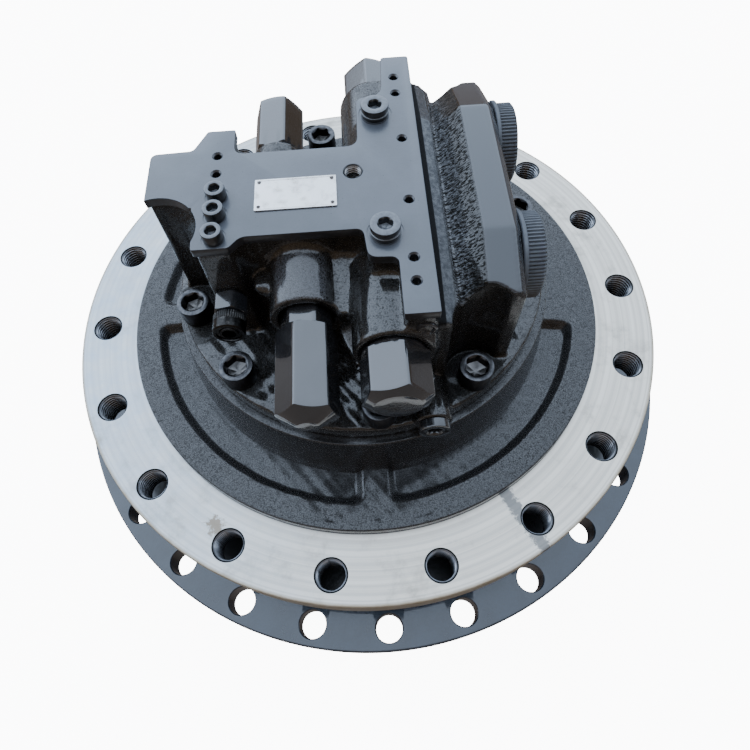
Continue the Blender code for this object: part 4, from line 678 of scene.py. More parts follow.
def flange_metal(colour):
    """Turned steel with what time left on it.

    Rings from the tool, dull cloudy patches, a golden rim, a few rust marks, one dark smear
    along a radius and one brown spot. Painted shade too: a cool bluish shade towards -X,
    and near-black on the faces that look down.
    """
    f = Finish("turned_flange_steel", metallic=0.75, ior=1.5)
    radius = f.radius()
    grooves = f.band_noise(radius, 5200.0, 2.0)
    bands = f.band_noise(radius, 260.0, 2.0)
    cloud = f.noise(16.0, 5.0, 0.62)
    spots = f.noise(60.0, 5.0, 0.7)
    stain = (cloud * 0.6 + spots * 0.4).rise(0.51, 0.70)
    rust = f.noise(26.0, 6.0, 0.72).rise(0.64, 0.74) * 0.35
    clean = f.tint(bands.rise(0.35, 0.65), colour, times(colour, 0.80))
    # Painted shade: a cool bluish shade towards -X, made patchy by the spots
    tint_share = (1 - f.x.rise(-0.26, 0.04)) * (spots.rise(0.3, 0.7) * 0.4 + 0.6)
    clean = f.tint(tint_share * 0.8, clean, (0.46, 0.58, 0.70))
    worn = f.tint(stain * 0.8, clean, (0.42, 0.39, 0.33))
    edge = radius.rise(0.2470, 0.2488) * (spots.rise(0.25, 0.75) * 0.4 + 0.5)
    golden = f.tint(edge, worn, (0.44, 0.37, 0.25))
    # Painted shade: faces that look down turn near-black
    lit = f.facing_up().rise(-0.7, -0.2)
    ragged = f.noise(190.0, 5.0, 0.7) * 0.016 - 0.008
    line = (f.x * 0.876 + f.y * 0.482).size() + ragged
    smear = (1 - line.rise(0.0035, 0.0060)) * f.x.rise(0.06, 0.07) * 0.8
    spot = f.away(-0.122, -0.185) + ragged * 1.4
    blot = (1 - spot.rise(0.0045, 0.0075)) * 0.8
    golden = f.tint(smear, golden, (0.15, 0.155, 0.16))
    golden = f.tint(blot, golden, (0.26, 0.20, 0.13))
    top = f.tint(rust, golden, (0.24, 0.16, 0.10))
    return f.finished(base_color=f.tint(lit, (0.03, 0.03, 0.03), top),
                      roughness=cloud * 0.22 + 0.34 + bands * 0.06,
                      normal=f.bump(grooves + bands * 0.6, 0.00006))


def thread_metal(name, colour):
    """Cut steel of the screw threads: bright crests, and painted shade in the roots and depths."""
    f = Finish(name, metallic=0.45)
    oil = f.noise(500.0, 3.0)
    mark = f.node("ShaderNodeAttribute", {"attribute_name": "tone"}, {})
    crest = Number(f, mark.outputs["Fac"]).rise(0.15, 0.75)
    # Painted shade: roots and depths go near-black, crests keep the steel's colour
    return f.finished(base_color=f.tint(crest, (0.010, 0.010, 0.010), colour),
                      roughness=oil * 0.15 + 0.16, normal=f.bump(oil, 0.00003))


def toned(thing, centres, inner, deep):
    """Stores a tone for every point of the threads: one on a crest, less in a root or deep down.

    The crest's share falls with the way from the nearest hole's axis beyond the inner
    radius, and all of it fades as the exponential of the depth below the highest point:
    painted shade in the roots and down the hole.
    """
    points = np.zeros(len(thing.data.vertices) * 3)
    thing.data.vertices.foreach_get("co", points)
    points = points.reshape(-1, 3)
    near = np.min([np.hypot(points[:, 0] - x, points[:, 1] - y) for x, y, *_ in centres], axis=0)
    crest = np.clip(1 - (near / MM - inner) / 1.1, 0, 1)
    fade = np.exp((points[:, 2] - points[:, 2].max()) / (deep * MM))
    layer = thing.data.attributes.new("tone", "FLOAT", "POINT")
    layer.data.foreach_set("value", crest * fade)


def screw_metal():
    """Phosphated screw heads, dark and rubbed on top, bare steel at the socket's end, and painted
    shade on the walls.
    """
    f = Finish("socket_screw_steel", metallic=1.0)
    grain = f.noise(1400.0, 3.0)
    rub = f.noise(260.0, 4.0, 0.6)
    up = f.facing_up().rise(0.5, 0.9)
    top = f.tint(rub.rise(0.35, 0.7), (0.130, 0.130, 0.135), (0.065, 0.066, 0.070))
    top = f.tint(f.z.rise(FACE + 0.074, FACE + 0.076), (0.16, 0.155, 0.15), top)
    # Painted shade: walls and socket sides turn near-black, level faces keep the rubbed top
    return f.finished(base_color=f.tint(up, (0.030, 0.030, 0.034), top),
                      roughness=rub * 0.25 + 0.20, normal=f.bump(grain + rub, 0.00008))


def gloss_paint(name, colour, roughness=0.12, peel=0.00010, gloss=1.65, covered=0.0):
    """Thick gloss over a smooth turned or milled part, with orange peel and a few runs.

    Level faces nearer to the axis than the covered radius are dull and painted dark: painted shade
    under what covers them.
    """
    f = Finish(name, ior=1.5, coat_roughness=0.05, coat_ior=gloss)
    skin = f.noise(420.0, 2.0)
    runs = f.noise(55.0, 3.0)
    paint = f.tint(runs.rise(0.3, 0.7), colour, times(colour, 1.5))
    # Painted shade: level faces inside the covered radius go near-black and dull
    under = f.facing_up().rise(0.5, 0.9) * (1 - f.radius().rise(covered, covered + 0.008))
    return f.finished(base_color=f.tint(under, paint, (0.004, 0.005, 0.006)),
                      coat_weight=1 - under * 0.93,
                      roughness=runs * 0.10 + roughness, normal=f.bump(skin + runs * 1.5, peel))


def ribbed_plastic(colour):
    """Dull moulded plastic with flow marks."""
    f = Finish("port_cover_plastic", ior=1.46)
    flow = f.noise(90.0, 4.0, 0.6)
    fine = f.noise(1500.0, 2.0)
    return f.finished(base_color=f.tint(flow.rise(0.3, 0.7), colour, times(colour, 0.75)),
                      roughness=flow * 0.2 + 0.38, normal=f.bump(fine + flow, 0.00006))


def plate_metal(colour):
    """Thin rolled aluminium, brushed along its length, with dull patches and darker rivets."""
    f = Finish("bare_plate_aluminium", metallic=0.85)
    brush = f.noise(1.0, 3.0, place=f.stretched((0, 0, 0), (60.0, 2600.0, 60.0)))
    dull = f.noise(120.0, 4.0, 0.6)
    face = f.tint(dull.rise(0.45, 0.75), colour, (0.62, 0.60, 0.56))
    rivet = f.z.rise(FACE + 0.15925, FACE + 0.15935)
    return f.finished(base_color=f.tint(rivet, face, (0.08, 0.07, 0.065)),
                      roughness=dull * 0.14 + 0.14,
                      normal=f.bump(brush, 0.00003))


def steel_inside(name, colour, roughness):
    """Ground or cut steel of the works, with fine grinding marks and an oil film."""
    f = Finish(name, metallic=1.0, coat_weight=0.3)
    marks = f.band_noise(f.radius(), 4200.0)
    tint_share = f.noise(70.0, 3.0)
    return f.finished(base_color=f.tint(tint_share.rise(0.3, 0.7), colour, times(colour, 0.7)),
                      roughness=marks * 0.15 + tint_share * 0.1 + roughness,
                      normal=f.bump(marks, 0.00003))


def rubbed_metal(name, scale, edges, first, second, roughness, relief):
    """Bare metal that goes from one colour to a second where the noise passes two edges.

    Roughness is how much the noise adds, and what there is without it.
    """
    f = Finish(name, metallic=1.0)
    rub = f.noise(scale, 4.0, 0.6)
    return f.finished(base_color=f.tint(rub.rise(*edges), first, second),
                      roughness=rub * roughness[0] + roughness[1], normal=f.bump(rub, relief))


def collar_metal():
    """Blued steel, rubbed bright in places."""
    return rubbed_metal("collar_steel", 500.0, (0.5, 0.8), (0.035, 0.034, 0.033),
                        (0.14, 0.13, 0.12), (0.15, 0.16), 0.00006)


def zinc_metal():
    """Zinc plated steel, dull yellow-grey."""
    return rubbed_metal("zinc_plated_steel", 300.0, (0.3, 0.7), (0.50, 0.50, 0.49),
                        (0.34, 0.33, 0.30), (0.2, 0.26), 0.00008)


def plug_paint():
    """Black paint of the plugs in the top, with a painted reflection in rubbed grey on their tops.
    """
    f = Finish("top_plug_paint", ior=1.5, coat_weight=0.8, coat_roughness=0.15, coat_ior=1.6)
    rub = f.noise(420.0, 4.0, 0.6)
    up = f.facing_up().rise(0.6, 0.9)
    top = f.tint(rub.rise(0.35, 0.7), (0.13, 0.145, 0.165), (0.08, 0.09, 0.105))
    # Painted reflection: level faces take the rubbed grey, walls stay black
    return f.finished(base_color=f.tint(up, (0.010, 0.011, 0.012), top),
                      roughness=rub * 0.2 + 0.22, normal=f.bump(rub, 0.00010))


# What a user may change
class FinalDriveSizes(bpy.types.PropertyGroup):
    """Sizes of the flanges and of the casting's grid"""

    flange_dia: FloatProperty(name="Frame flange", description="Outer diameter of the bare flange",
                              default=0.500, min=0.3, max=1.0, subtype="DISTANCE")
    flange_thick: FloatProperty(name="Flange thickness", description="Height of the bare flange",
                                default=0.030, min=0.01, max=0.1, subtype="DISTANCE")
    frame_circle: FloatProperty(name="Frame bolt circle", description="Diameter through the "
                                "flange's threaded holes", default=0.458, min=0.2, max=1.0,
                                subtype="DISTANCE")
    frame_holes: IntProperty(name="Frame holes", description="Threaded holes in the flange",
                             default=18, min=3, max=60)
    frame_pitch: FloatProperty(name="Thread pitch", description="Height of one turn of the "
                               "flange's threads", default=0.003, min=0.0005, max=0.01,
                               subtype="DISTANCE")
    sprocket_holes: IntProperty(name="Sprocket holes", description="Holes in the hub's flange",
                                default=26, min=3, max=60)
    casting_step: FloatProperty(name="Casting step", description="Grid step of the cast cover",
                                default=0.0014, min=0.0008, max=0.01, subtype="DISTANCE")
    casting_ease: FloatProperty(name="Casting ease", description="How far the cast forms flow "
                                "into each other", default=0.006, min=0.0, max=0.02,
                                subtype="DISTANCE")


class FinalDrivePaints(bpy.types.PropertyGroup):
    """Colours of paint, steel, plastic and floor, and the light's strength"""

    casting: FloatVectorProperty(name="Casting", description="Gloss paint of the motor",
                                 default=(0.0040, 0.0042, 0.0045), size=3, subtype="COLOR",
                                 min=0.0, max=1.0)
    # Painted reflection of the sky: this colour goes only on the milled top's level faces
    top: FloatVectorProperty(name="Top plate", description="Satin paint of the milled top",
                             default=(0.070, 0.080, 0.095), size=3, subtype="COLOR",
                             min=0.0, max=1.0)
    hub: FloatVectorProperty(name="Hub", description="Paint of the hub, ring gear and cover",
                             default=(0.018, 0.027, 0.040), size=3, subtype="COLOR",
                             min=0.0, max=1.0)
    flange: FloatVectorProperty(name="Flange", description="Bare steel of the frame flange",
                                default=(0.92, 0.87, 0.77), size=3, subtype="COLOR",
                                min=0.0, max=1.0)
    plastic: FloatVectorProperty(name="Port covers", description="Plastic of the port covers",
                                 default=(0.130, 0.145, 0.165), size=3, subtype="COLOR",
                                 min=0.0, max=1.0)
    floor: FloatVectorProperty(name="Floor", description="Plain floor", size=3, subtype="COLOR",
                               default=(0.86, 0.86, 0.86), min=0.0, max=1.0)
    sky: FloatProperty(name="Sky", description="Strength of the soft light from above",
                       default=2.3, min=0.0, max=20.0)


# Operators, one for each piece or group of like pieces
class FINALDRIVE_OT_frame_flange(bpy.types.Operator):
    """Bare turned flange with its threaded holes"""

    bl_idname = "finaldrive.frame_flange"
    bl_label = "Frame flange"

    def execute(self, context):
        sizes = context.scene.final_drive_sizes
        outer = sizes.flange_dia / MM / 2
        low, high = -sizes.flange_thick / MM, 0.0
        corners = [(PILOT_WALL, low), (outer, low), (outer, high), (PILOT_WALL, high)]
        profile = eased(corners, (0, 2.0, 1.6, 0)) + (0, FACE / MM)
        hole = [(0, low - 4), (THREAD_BORE, low - 4), (THREAD_BORE, high + 4), (0, high + 4)]
        angles = FIRST_FRAME_HOLE + 360 / sizes.frame_holes * np.arange(sizes.frame_holes)
        centres = [on_circle(sizes.frame_circle / MM / 2, angle, FACE) for angle in angles]
        cutters = [laid(turned(hole, 48, loop=False), at=centre) for centre in centres]
        metal = flange_metal(tuple(context.scene.final_drive_paints.flange))
        piece("bare_frame_flange", carved(turned(profile, 288), cutters), metal,
              ("frame_flange",))
        sleeve = self.sleeve(low, sizes.frame_pitch / MM)
        threads = gathered([laid(sleeve, at=centre) for centre in centres])
        metal = thread_metal("frame_thread_steel", (0.60, 0.64, 0.70))
        toned(piece("frame_threads", threads, metal), centres, THREAD_CREST, 22)
        return {"FINISHED"}

    def sleeve(self, low, pitch):
        """Threaded lining: the radius rises and falls once for each turn of the helix."""
        angles = around(40)
        outer = THREAD_BORE - 0.05
        rows = [(outer, -0.02), (outer - 0.15, -0.02), (THREAD_CREST + 0.5, -1.5)]
        for z in np.arange(-1.9, low + 0.4, -pitch / 6):
            wave = np.abs(2 * ((z / pitch - angles / TAU) % 1.0) - 1)
            rows.append((THREAD_CREST + 1.6 * np.clip(1.2 * wave - 0.1, 0, 1), z))
        rows += [(THREAD_CREST + 1.6, low + 0.1), (outer, low + 0.1)]
        return revolved(rows, angles, loop=True)


class FINALDRIVE_OT_case(bpy.types.Operator):
    """Cast case: spindle, spigot with its pockets, and the motor's wall"""

    bl_idname = "finaldrive.case"
    bl_label = "Case casting"

    def execute(self, context):
        outside = eased([(170, -40.4), (206, -40.4), (210, -30.4), (199.3, -30.4), (199.3, 9),
                         (196, 9)], (0, 2, 1, 0, 1.6, 0), closed=False)
        top = np.column_stack([np.arange(195, 155.5, -1.0), np.full(40, 9.0)])
        wall = eased([(155, 9), (153.7, 9.0), (153.2, 14), (148.6, 47), (148.3, 50), (144, 50),
                      (95, 50)], (0, 0, 3, 2, 1.2, 0, 0), closed=False, steps=5)
        inside = np.array([(95, -26), (88, -26), (88, -125.6), (45.3, -125.6), (45.3, -145.6),
                           (23, -145.6), (23, -179.6), (60, -179.6), (60, -163.3),
                           (118, -163.3), (118, -150.5), (129.7, -150.5), (129.7, -65.9),
                           (144, -60.2), (144, -46.8), (170, -46.8)])
        path = np.concatenate([outside, top, wall, inside])
        angles = around(720)
        radius = np.repeat(path[:, :1], len(angles), axis=1)
        height = np.repeat(path[:, 1:], len(angles), axis=1)
        # The level face and the wall's foot sink into the pockets and wave as a casting does
        is_top = (radius > 152.9) & (radius < 197) & (height > 7) & (height < 14.1)
        deep = POCKET_DEEP * self.pocket(radius, angles)
        lumps = cast_lumps(radius * np.cos(angles), radius * np.sin(angles))
        height = np.where(is_top, height - deep + 0.6 * lumps * (radius < 194), height)
        grid = np.stack([radius * np.cos(angles) * MM, radius * np.sin(angles) * MM,
                         FACE + height * MM], -1)
        paint = cast_paint(tuple(context.scene.final_drive_paints.casting))
        piece("case_casting", skinned(grid, loop=True), paint,
              ("motor_case", "frame_flange"), crease=50.0)
        return {"FINISHED"}

    def pocket(self, radius, angles):
        """One in a pocket and zero outside, rising over the pocket's rounded edge.

        The distance into a pocket is the smooth least of the way to its outer rim and the
        way along the arc to its nearer rib.
        """
        best = np.full(radius.shape, -50.0)
        for first, last in POCKETS:
            middle, half = np.radians((first + last) / 2), np.radians((last - first) / 2)
            off = np.abs((angles - middle + np.pi) % TAU - np.pi)
            arc = (half - off) * radius - POCKET_RIB / 2
            best = np.maximum(best, both(-arc, radius - POCKET_OUTER, 9.0) * -1)
        share = np.clip(best / 6.5, 0, 1)
        return share * share * (3 - 2 * share)


class FINALDRIVE_OT_cover(bpy.types.Operator):
    """Cast rear cover with its bosses, ports, valley and scallops"""

    bl_idname = "finaldrive.cover"
    bl_label = "Cover casting"

    def execute(self, context):
        sizes = context.scene.final_drive_sizes
        step = sizes.casting_step / MM
        low = np.array((-147.0, -147.0, 49.0))
        high = np.array((147.0, 147.0, 161.0))
        x, y, z = (np.arange(a, b, step, dtype=np.float32) for a, b in zip(low, high))
        field = self.field(x, y, z, sizes.casting_ease / MM)
        points, faces = surface_of(field, low, step)
        points[:, 2] += FACE
        shape = points, faces
        triangles = 2 * len(faces)
        if triangles > MOST_TRIANGLES:
            shape = thinned(shape, MOST_TRIANGLES / triangles)
        paint = cover_cast_paint(tuple(context.scene.final_drive_paints.casting))
        piece("cover_casting", shape, paint, ("rear_cover",), crease=70.0)
        return {"FINISHED"}

    def field(self, x, y, z, ease):
        """Distance from the casting's skin, in millimetres, on the grid of x, y and z.

        The wall under the milled top, the disc, the round bosses, the drain boss, the port
        block and a small lump flow into each other by ease. Scallops, screw holes, bores
        and ports are dug out of the whole. The narrower front bosses rise inwards.
        """
        outline = eased([c[:2] for c in TOP_OUTLINE], [c[2] for c in TOP_OUTLINE])
        plan = outline_distance(outline, x, y)[:, :, None].astype(np.float32)
        X, Y, Z = x[:, None, None], y[None, :, None], z[None, None, :]
        lumps = cast_lumps(X, Y)
        draft = (PLATE_TOP - Z) * 0.02
        back = 5.0 * np.clip(1.4 - np.abs(X + 36) / 30, 0, 1) * np.clip(-Y / 20, 0, 1)
        body = both(both(plan + 2.0 - draft + back, Z - (PLATE_TOP - PLATE_THICK + 0.5), 1.0),
                    60 - Z, 1.0)
        radius = np.hypot(X, Y)
        disc = both(radius - 142.3, Z - DISC_TOP - lumps, 3.0)
        whole = joined(body, disc, ease)
        for (x0, z0), r, start, reach, side in ROUND_BOSSES:
            rise = 0.32 * (reach - Y * side) * (r < 25) * (side < 0)
            tube = np.hypot(X - x0, Z - z0 - rise) - r
            ends = np.maximum(start - Y * side, Y * side - reach)
            whole = joined(whole, both(tube, ends, 1.6), ease)
        drain_r = 9 + np.clip((-Y - 101) / 34, 0, 1) * 4
        drain = both(np.hypot(X - DRAIN[0], Z - DRAIN[1]) - drain_r,
                     np.maximum(60 + Y, -Y - 141), 1.0)
        whole = joined(whole, drain, ease * 0.6)
        whole = joined(whole, self.port_block(X, Y, Z), 2.5)
        lump = np.sqrt(((X + 63) / 9) ** 2 + ((Y + 53) / 9) ** 2 + ((Z - 116) / 6) ** 2) * 7 - 7
        whole = joined(whole, lump, 4.0)
        for angle, scallop in MOTOR_SCREWS:
            cx, cy = np.array(on_circle(MOTOR_SCREW_CIRCLE, angle)[:2]) / MM
            off = np.hypot(X - cx, Y - cy)
            whole = dug(whole, both(off - max(scallop, 14.6), DISC_TOP + 0.05 - Z, 0.8), 1.2)
            whole = dug(whole, off - 8.4, 0.5)
        for (x0, z0), r, first, last in BOSS_BORES:
            hole = np.maximum(np.hypot(X - x0, Z - z0) - r, np.maximum(first - Y, Y - last))
            whole = dug(whole, hole, 0.6)
        whole = dug(whole, np.maximum(radius - 35.4, Z - 66.9), 0.5)
        for y0, _ in PORTS:
            port = np.maximum(np.hypot(Y - y0, Z - PORT_HEIGHT) - 16, PORT_FACE - 30 - X)
            whole = dug(whole, port, 0.5)
        whole = np.maximum(whole, 50.35 - Z)
        return np.ascontiguousarray(whole, np.float32)

    def port_block(self, X, Y, Z):
        """Block with a level top, ends that slope down, a valley and a low band beside it."""
        drop = np.maximum(0, np.abs(Y) - 54) * np.tan(np.radians(21))
        top = PLATE_TOP - drop
        chamfer = (X - PORT_FACE + Z - top + 5) * np.sqrt(0.5)
        slope = ((76 - X) * 15 + (Z - top) * 16) / np.hypot(15, 16)
        block = np.maximum(np.maximum(X - PORT_FACE, Z - top), np.maximum(chamfer, slope))
        block = both(block, np.maximum(-93 - Y, Y - 104), 1.5)
        floor = np.maximum(np.maximum(Z - (top - 19), 40 - X), X - 90)
        floor = np.maximum(floor, np.maximum(-93 - Y, Y - 104))
        tilt = (Z - (PLATE_TOP - 6 - drop * 0.5) + (X - 45) * 0.42) / np.hypot(1, 0.42)
        band = np.maximum(np.maximum(tilt, 40 - X), X - 56.5 - (147 - Z) * 0.3)
        band = np.maximum(band, np.maximum(-108 - Y, Y - 104))
        ground = 60 - Z
        return np.maximum(joined(joined(block, floor, 2.5), band, 2.5), ground)


class FINALDRIVE_OT_top_plate(bpy.types.Operator):
    """Milled top of the cover with its holes"""

    bl_idname = "finaldrive.top_plate"
    bl_label = "Top plate"

    def execute(self, context):
        outline = eased([c[:2] for c in TOP_OUTLINE], [c[2] for c in TOP_OUTLINE], steps=6)
        top = FACE / MM + PLATE_TOP
        body = slab(outline, top - PLATE_THICK, top, 0.45)
        cutters = []
        drilled = (LIFTING_HOLE, 5.9, 6.6, 24), (SCREW_HOLES, 2.65, 3.7, 16)
        for places, radius, wide, deep in drilled:
            for x, y in places:
                shape = [(0, -deep), (radius, -deep), (radius, radius - wide), (wide, 0),
                         (wide + 0.6, 0.6), (0, 0.6)]
                cutters.append(laid(turned(shape, 28, loop=False),
                                    at=(x * MM, y * MM, top * MM)))
        for places, radius in (PILOT_PLUGS, 7.9), (PASSAGE_PLUGS, 11.5):
            for x, y in places:
                ring = [(radius - 1.6, -0.5), (radius, -0.5), (radius, 0.5), (radius - 1.6, 0.5)]
                cutters.append(laid(turned(ring, 40), at=(x * MM, y * MM, top * MM)))
        for angle, scallop in MOTOR_SCREWS:
            if scallop:
                shape = [(0, -20), (scallop, -20), (scallop, 5), (0, 5)]
                cutters.append(laid(turned(shape, 96, loop=False),
                                    at=on_circle(MOTOR_SCREW_CIRCLE, angle, top * MM)))
        paint = plate_paint(tuple(context.scene.final_drive_paints.top))
        piece("cover_top_plate", carved(body, cutters), paint, crease=30.0)
        self.lifting_thread(top)
        return {"FINISHED"}

    def lifting_thread(self, top):
        """Lining of the lifting hole: the radius rises and falls once in each turn."""
        angles = around(32)
        crest, pitch = 4.8, 1.75
        rows = [(5.85, top - 0.3), (5.8, top - 0.3), (5.2, top - 1.0)]
        for z in np.arange(-1.2, -22.0, -pitch / 6):
            wave = np.abs(2 * ((z / pitch - angles / TAU) % 1.0) - 1)
            rows.append((crest + wave, top + z))
        rows += [(5.85, top - 22.5)]
        metal = thread_metal("lifting_thread_steel", (0.60, 0.60, 0.60))
        toned(piece("lifting_thread", revolved(rows, angles, loop=True), metal),
              LIFTING_HOLE, crest, 14)


def socket_screw(head, high, socket, deep, shank, long, tiers=()):
    """Round head with a hexagon socket, and a shank, on z = 0, in millimetres.

    Head and shank are radii, high and deep the head's height and its socket's depth, socket
    the width across its flats, and long the shank's length. Every ring has the hexagon's
    own angles, so a ring's radius goes from the circle's to the hexagon's without a seam.
    Tiers are more rings up the head's side.
    """
    angles, key = hex_ring(socket, 0.3, per_side=3)
    round_key = socket / np.sqrt(3) + 0.35
    side = list(tiers) or [(head, 0.0), (head, high - 0.8)]
    rows = [(0, -long), (shank - 0.8, -long), (shank, -long + 0.8), (shank, 0.0)]
    rows += side + [(head - 0.25, high - 0.25), (head - 0.9, high), (round_key + 0.3, high),
                    (round_key, high - 0.15), (key, high - 1.2), (key, high - deep),
                    (key * 0.45, high - deep - key * 0.12), (0, high - deep - key * 0.16)]
    return revolved(rows, angles)


class FINALDRIVE_OT_screws(bpy.types.Operator):
    """Socket head screws that hold the cover on the case"""

    bl_idname = "finaldrive.screws"
    bl_label = "Motor screws"

    def execute(self, context):
        metal = screw_metal()
        shape = socket_screw(12.0, 16.0, 14.0, 8.0, 8.0, 44.0)
        for number, (angle, _) in enumerate(MOTOR_SCREWS, 1):
            place = on_circle(MOTOR_SCREW_CIRCLE, angle, FACE + (DISC_TOP + SEAT_GAP) * MM)
            turn = np.radians(17.0 * number)
            piece("motor_screw_%d" % number, laid(shape, at=place, turn=turn), metal,
                  ("motor_bolt_%d" % number,))
        return {"FINISHED"}


class FINALDRIVE_OT_caps(bpy.types.Operator):
    """Hexagon caps of the spool and the relief valves"""

    bl_idname = "finaldrive.caps"
    bl_label = "Valve caps"

    def execute(self, context):
        paint = gloss_paint("valve_cap_paint", (0.014, 0.014, 0.015), gloss=1.85)
        for name, (x, z), seat, side, across, length, tip, shank, turn, neck in CAPS:
            shape = self.cap(across, length, tip, shank, neck)
            place = (x * MM, side * (seat + SEAT_GAP) * MM, FACE + z * MM)
            piece(name + "_hex", laid(shape, (0, side, 0), place, np.radians(turn)), paint,
                  (name,), crease=22.0)
        return {"FINISHED"}

    def cap(self, across, length, tip, shank, neck):
        """Hexagon bar whose end is turned to a cone.

        Each angle has the hexagon's radius up to the height where the cone is as narrow,
        and the cone's radius from there on, so the crossing lies on a row of the grid.
        A cap with a long neck has the flats of a nut round it.
        """
        angles, flat = hex_ring(across, 1.1, per_side=11)
        corner = across / np.sqrt(3)
        fall = 0.55
        crossing = length - (flat - tip) * fall
        back = np.minimum(flat, across / 2 * 1.05)
        rows = [(0, -12), (shank - 0.8, -12), (shank, -11.2), (shank, 0.0)]
        if neck > 3:
            nut = np.minimum(15.6 / np.cos((angles - 0.33) % (TAU / 6) - TAU / 12), 17.4)
            rows += [(nut, -4.5), (nut, neck - 0.7), (nut - 0.5, neck - 0.3)]
        else:
            rows += [(corner * 0.90, 0.0), (corner * 0.90, neck)]
        rows += [(back, neck), (flat, neck + 0.2 + (flat - back) * 0.6)]
        rows += [(flat, neck + 0.2 + (crossing - neck) * share) for share in (0.3, 0.6, 0.9)]
        rows += [(flat, crossing - 0.5), (flat - 0.12, crossing + 0.05)]
        for share in (0.04, 0.25, 0.5, 0.75, 0.97):
            rows.append((flat + (tip - flat) * share, crossing + (length - crossing) * share))
        rows += [(tip - 0.5, length), (tip * 0.5, length), (0, length)]
        return revolved(rows, angles)


class FINALDRIVE_OT_plugs(bpy.types.Operator):
    """Socket plugs, the speed line's union and its collar"""

    bl_idname = "finaldrive.plugs"
    bl_label = "Plugs and fittings"

    def execute(self, context):
        top = FACE + (PLATE_TOP + SEAT_GAP) * MM
        paint = plug_paint()
        shape = socket_screw(6.5, 7.7, 6.0, 4.8, 4.4, 10.0)
        for number, (x, y) in enumerate(PILOT_PLUGS, 1):
            piece("pilot_plug_screw_%d" % number, laid(shape, at=(x * MM, y * MM, top),
                                                       turn=0.4 * number), paint,
                  ("pilot_plug_%d" % number,))
        tiers = [(9.5, 0.0), (9.5, 2.6), (9.0, 3.0), (8.7, 3.1), (8.7, 3.9), (9.5, 4.1),
                 (9.5, 7.0)]
        shape = socket_screw(9.5, 7.8, 8.0, 5.0, 6.4, 10.0, tiers)
        for (x, y), name in zip(PASSAGE_PLUGS, ("front", "back")):
            piece("passage_plug_screw_" + name, laid(shape, at=(x * MM, y * MM, top), turn=0.3),
                  paint, ("passage_plug_" + name,))
        gloss = gloss_paint("fitting_paint", (0.014, 0.015, 0.017), 0.16)
        self.speed_union(gloss)
        shape = socket_screw(6.65, 2.6, 7.0, 1.9, 6.0, 0.2, [(6.65, 0.0), (6.65, 2.2)])
        place = (37.5 * MM, -108.6 * MM, FACE + 138 * MM)
        piece("arm_plug_screw", laid(shape, (0, -1, 0), place), gloss,
              ("arm_plug",))
        shape = socket_screw(11.0, 6.0, 10.0, 4.8, 6.7, 12.0, [(11.0, 0.0), (11.0, 5.0)])
        place = (DRAIN[0] * MM, -(141 + SEAT_GAP) * MM, FACE + DRAIN[1] * MM)
        piece("drain_plug_screw", laid(shape, (0, -1, 0), place), gloss,
              ("drain_plug",))
        return {"FINISHED"}

    def speed_union(self, paint):
        """Hexagon union with a knurled collar; the collar's radius waves with the angle."""
        place = np.array((-89.5 * MM, -56.3 * MM, FACE + 105 * MM))
        angles, flat = hex_ring(21.0, 0.8, per_side=5)
        back = np.minimum(flat, 11.2)
        rows = [(0, -12), (5.8, -12), (5.8, 0), (back, 0), (flat, (flat - back) * 0.6),
                (flat, 13.0 - (flat - back) * 0.6), (back, 13.0), (9.0, 14.0), (0, 14.0)]
        union = revolved(rows, angles)
        piece("speed_union_hex", laid(union, (0, -1, 0), place, 0.2), paint,
              ("speed_union",))
        angles = around(220)
        knurl = 11.0 - 0.45 * np.clip(np.cos(angles * 44) + 0.5, 0, 1)
        rows = [(0, 0), (9.6, 0), (knurl, 0.6), (knurl, 5.0), (10.4, 5.4), (10.4, 6.0),
                (11.0, 6.3), (11.0, 12.6), (10.2, 13.4), (8.6, 13.4), (8.2, 12.4), (6.6, 12.4),
                (6.2, 13.2), (4.6, 13.2), (4.2, 9.5), (0, 9.5)]
        seat = place + (0, -14.3 * MM, 0)
        piece("speed_plug_collar", laid(revolved(rows, angles), (0, -1, 0), seat),
              collar_metal(), ("speed_union",))


class FINALDRIVE_OT_name_plate(bpy.types.Operator):
    """Bare riveted plate on the top"""

    bl_idname = "finaldrive.name_plate"
    bl_label = "Bare plate"

    def execute(self, context):
        low = FACE / MM + PLATE_TOP + SEAT_GAP
        corners = [(-63, -29), (-11, -29), (-11, -3), (-63, -3)]
        shapes = [slab(eased(corners, [0.8] * 4), low, low + 0.8, 0.15)]
        inner = [(-61.6, -27.6), (-12.4, -27.6), (-12.4, -4.4), (-61.6, -4.4)]
        rim = eased(inner, [0.6] * 4)
        grid = np.array([np.column_stack([rim + shift * np.sign(rim - (-37, -16)),
                                          np.full(len(rim), low + z)])
                         for shift, z in ((0, 0.75), (0, 0.92), (0.35, 0.92), (0.35, 0.75))])
        shapes.append(skinned(grid * MM, loop=True))
        dome = [(0, 0.5), (1.5, 0.5)]
        dome += [(1.5 * np.cos(t), 0.6 + 0.7 * np.sin(t)) for t in np.linspace(0, np.pi / 2, 5)]
        for x, y in ((-60.2, -26.2), (-13.8, -26.2), (-13.8, -5.8), (-60.2, -5.8)):
            shapes.append(laid(turned(dome, 18, loop=False), at=(x * MM, y * MM, low * MM)))
        metal = plate_metal((0.95, 0.95, 0.94))
        piece("bare_plate", gathered(shapes), metal, ("name_plate",))
        return {"FINISHED"}


